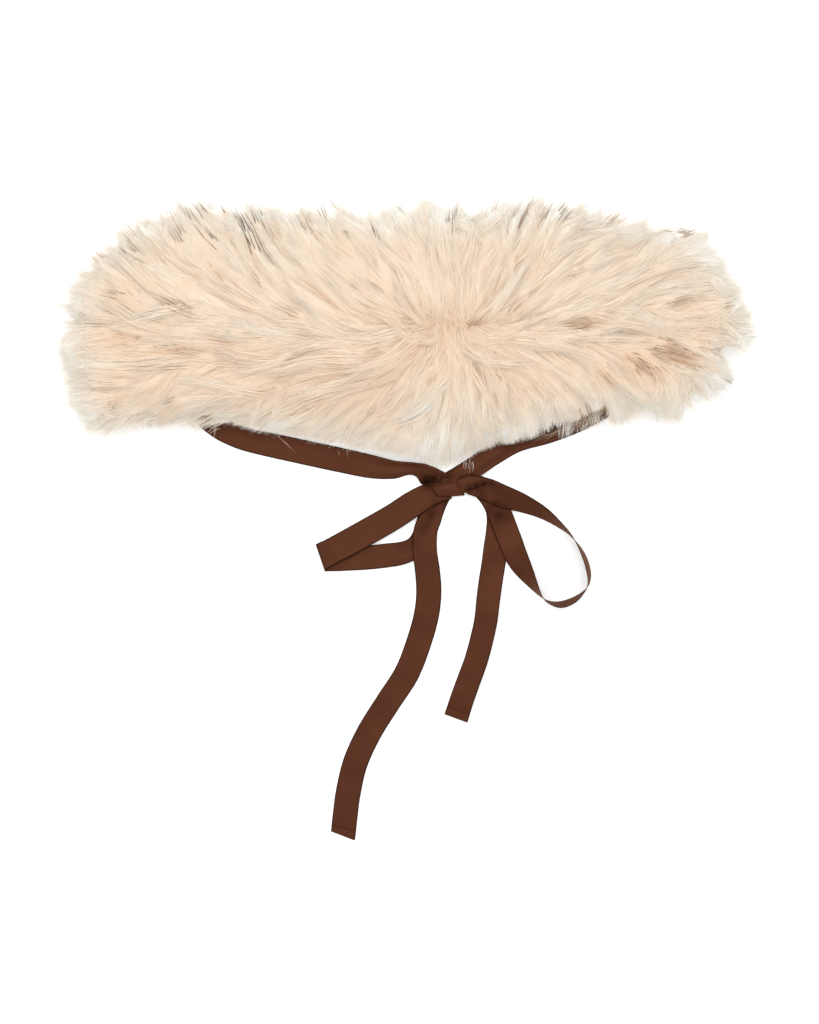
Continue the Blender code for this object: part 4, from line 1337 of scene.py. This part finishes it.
# short dark hairs that lie across the nap: painted shade in the crevice of the whorl, and the ends at the
# right of the back
crossings = [
    {"at": (56.5, 7.6), "spread": (3.6, 0.5), "heading": 3, "hairs": 30,
     "length": (3, 6), "dark": (0.12, 0.35)},
    {"at": (230, 83), "spread": (6.5, 1.3), "heading": 352, "hairs": 14,
     "length": (7, 12), "dark": (0.45, 0.8)},
]
guardHair = {
    "darkShare": 0.78,       # of each hair's length
    "share": 0.38,           # of the hairs given for each tuft
    "apart": 1.9,
    # short brown hairs of painted shade along the partings
    "shadeStrokes": 0.08,         # hairs for each square mm of a parting
    "width": 0.80,
    "tone": (0.90, 0.99),    # from brown to dark
}


def paintedShadeStrokes(draw):
    # painted shade: a few short brown hairs lie along each parting as its shadow
    shadeStrokes = []
    for x, y, length, width, depth in partingsAndShade:
        eastward, northward = plan.read(plan.nap, np.array([float(x), float(y)]))
        darker = 0.35 if depth > 0.8 else 0.0
        for _ in range(int(length * width * depth * guardHair["shadeStrokes"])):
            along, aside = draw.normal(0, length / 4), draw.normal(0, width / 2)
            strokeX = x + along * eastward - aside * northward
            strokeY = y + along * northward + aside * eastward
            if abs(strokeX - seamAt) > 9:
                shadeStrokes.append((strokeX, strokeY, draw.uniform(5, 12), 1, draw.uniform(0.2, 0.5) + darker))
    return shadeStrokes


def growGuardHairs(comb):
    draw = np.random.default_rng(coat["seed"] + 4)
    table = np.array(guardTufts, float)
    table[:, 3] = np.ceil(table[:, 3] * guardHair["share"])
    table = np.concatenate([table, paintedShadeStrokes(draw)])
    heading = plan.read(plan.nap, table[:, :2])
    for group in crossings:
        for _ in range(group["hairs"]):
            place = group["at"] + draw.normal(0, 1, 2) * group["spread"]
            stroke = (*place, draw.uniform(*group["length"]), 1, draw.uniform(*group["dark"]))
            table = np.vstack([table, stroke])
            angle = math.radians(group["heading"]) + draw.normal(0, 0.2)
            heading = np.vstack([heading, (math.cos(angle), math.sin(angle))])
    number = table[:, 3].astype(int)
    tuft = np.repeat(np.arange(len(table)), number)
    x, y, dark, hairs, darkness = table[tuft].T
    count = len(tuft)
    length = dark / guardHair["darkShare"] * draw.uniform(0.6, 1.2, count)
    heading = turned(heading, draw.normal(0, 0.10, len(table)))[tuft]
    # side by side, each a little apart from the next
    first = np.concatenate([[0], np.cumsum(number)[:-1]])[tuft]
    aside = (np.arange(count) - first - (hairs - 1) / 2) * guardHair["apart"] + draw.normal(0, 0.9, count)
    ahead = dark * (0.5 + draw.normal(0, 0.18, count))
    tip = np.column_stack([x, y]) + heading * ahead[:, None] + toLeft(heading) * aside[:, None]
    t = np.linspace(0, 1, 6)
    bend = draw.normal(0, 0.05, count)[:, None] * (1 - t) ** 2 * length[:, None]
    points = alongHeading(tip, heading, -(length[:, None] * (1 - t)), bend)
    ground = plan.read(comb.surface, points)
    lift = (4.8 + draw.uniform(0, 1.4, count))[:, None] * np.clip(t * 2.4, 0, 1)
    z = ground + lift * np.clip(ground / 20, 0.3, 1)
    brown, black = guardHair["tone"]
    tone = brown + (black - brown) * (darkness + draw.normal(0, 0.08, count))
    tone = np.clip(tone, brown, black)[:, None] + 0 * t
    # single hairs, the brown strokes of painted shade and the crossings, are thin, and in a tuft the darker
    # the thicker
    width = guardHair["width"] * np.where(hairs > 1, 0.55 + 0.45 * darkness, 0.55)
    width = width * draw.uniform(0.7, 1.2, count)
    roll = draw.normal(0, 0.3, count)
    dealOut("guardHairs", 1, np.arange(count), raised(points, z, 1.2), width, roll, tone)


# stray hairs: middle (x, y), scatter along x and y, heading in degrees and its spread, length, hairs,
# width, tone, height, and how far past the fur's lower edge they may lie
strayHairs = [
    (150, -70, 12, 4, 258, 13, 17, 150, 0.36, 0.04, 3.0, 30),    # the fringe over the right tie's start
    (134, -76, 3, 3, 268, 8, 16, 60, 0.40, 0.04, 3.2, 30),
    (156, -67, 3, 3, 262, 8, 15, 50, 0.36, 0.04, 3.4, 30),
    (142.5, -76, 1.8, 2, 250, 10, 6, 12, 0.60, 0.985, 4.6, 30),
    (150.5, -71, 1.8, 2, 246, 12, 7, 10, 0.60, 0.97, 4.6, 30),
    (164.5, -65, 0.8, 1.2, 254, 6, 8, 12, 0.75, 0.985, 5.0, 30),
    (97, -86, 16, 3.5, 262, 8, 12, 240, 0.40, 0.16, 3.0, 0.6),    # a fuller edge along the ties
    (-115, -79, 22, 2.5, 264, 8, 10, 170, 0.38, 0.10, 2.6, 0.3),
    (114, -84, 10, 2, 198, 10, 20, 9, 0.24, 0.45, 2.0, 12),
    (52, -109.5, 4, 1.4, 266, 3, 10, 8, 0.20, 0.02, 5.0, 16),
    (-92, -93, 8, 3, 320, 6, 22, 3, 0.16, 0.6, 1.6, 14),
    (-50, -99, 16, 1, 285, 14, 7, 8, 0.18, 0.5, 1.6, 10),
    (-165, -69, 8, 4, 210, 9, 19, 90, 0.34, 0.12, 2.6, 30),
    (-168, -72, 5, 2.5, 216, 10, 9, 6, 0.30, 0.95, 3.0, 30),
    (28, -98, 20, 8, 266, 12, 15, 190, 0.36, 0.0, 3.2, 0),    # thin white hair where the ties meet
    (10, -100, 12, 3, 262, 8, 12, 14, 0.22, 0.93, 3.2, 0),
]


def growStrays():
    draw = np.random.default_rng(coat["seed"] + 5)
    table = np.array(strayHairs, float)
    group = np.repeat(np.arange(len(table)), table[:, 7].astype(int))
    x, y, alongX, alongY, angle, spread, length, _, width, tone, height, past = table[group].T
    count = len(group)
    middle = np.column_stack([x + draw.normal(0, 1, count) * alongX, y + draw.normal(0, 1, count) * alongY])
    angle = np.radians(angle + draw.normal(0, 1, count) * spread)
    length = length * draw.uniform(0.6, 1.3, count)
    t = np.linspace(0, 1, 6)
    bend = draw.normal(0, 0.06, count)[:, None] * length[:, None] * (t - 0.5) ** 2 * 4
    heading = np.column_stack([np.cos(angle), np.sin(angle)])
    points = alongHeading(middle, heading, length[:, None] * (t - 0.5), bend)
    z = height[:, None] + draw.uniform(-0.3, 0.8, count)[:, None] + 2.0 * (1 - t) ** 2
    tone = np.clip(tone + draw.normal(0, 0.03, count), 0, 0.99)[:, None] + 0 * t
    width = width * draw.uniform(0.7, 1.2, count)
    kept = np.flatnonzero(points[:, -1, 1] > footLine(points[:, -1, 0]) - past)
    dealOut("strayHairs", 1, kept, raised(points, z), width, draw.normal(0, 0.3, count), tone)


combing = Combing(np.random.default_rng(coat["seed"]))
buildBodies(combing.surface)
growCoat(combing)
growOverLocks(combing)
growWisps(combing)
growRim(combing)
growWhorl(combing)
growGuardHairs(combing)
growStrays()

# floor, light and world
studio = {
    "floor": 0.90,
    "glow": 0.3,
    "world": 1.0,
    "key": 20.0,
    "softbox": (-0.12, 0.55, 1.9),
    "aim": (0, -0.1, 0),
}


def buildStudio():
    bpy.ops.mesh.primitive_plane_add(size=8, location=(0, 0, -0.0004))
    floor = bpy.context.active_object
    floor.name = "floor"
    material, _, shader = newMaterial("floorPaper", 0.9, specular=0.1)
    shader.inputs["Base Color"].default_value = (studio["floor"],) * 3 + (1,)
    shader.inputs["Emission Color"].default_value = (1, 1, 1, 1)
    shader.inputs["Emission Strength"].default_value = studio["glow"]
    floor.data.materials.append(material)
    world = bpy.data.worlds.new("studio")
    world.use_nodes = True
    back = world.node_tree.nodes["Background"]
    back.inputs[0].default_value = (1, 1, 1, 1)
    back.inputs[1].default_value = studio["world"]
    bpy.context.scene.world = world
    light = bpy.data.lights.new("softbox", "AREA")
    light.shape = "RECTANGLE"
    light.size, light.size_y = 2.0, 1.2
    light.energy = studio["key"]
    softbox = bpy.data.objects.new("softbox", light)
    softbox.location = studio["softbox"]
    aim = Vector(studio["aim"]) - Vector(studio["softbox"])
    softbox.rotation_euler = aim.to_track_quat("-Z", "Y").to_euler()
    bpy.context.collection.objects.link(softbox)
    bpy.context.scene.view_settings.view_transform = "Standard"


buildStudio()
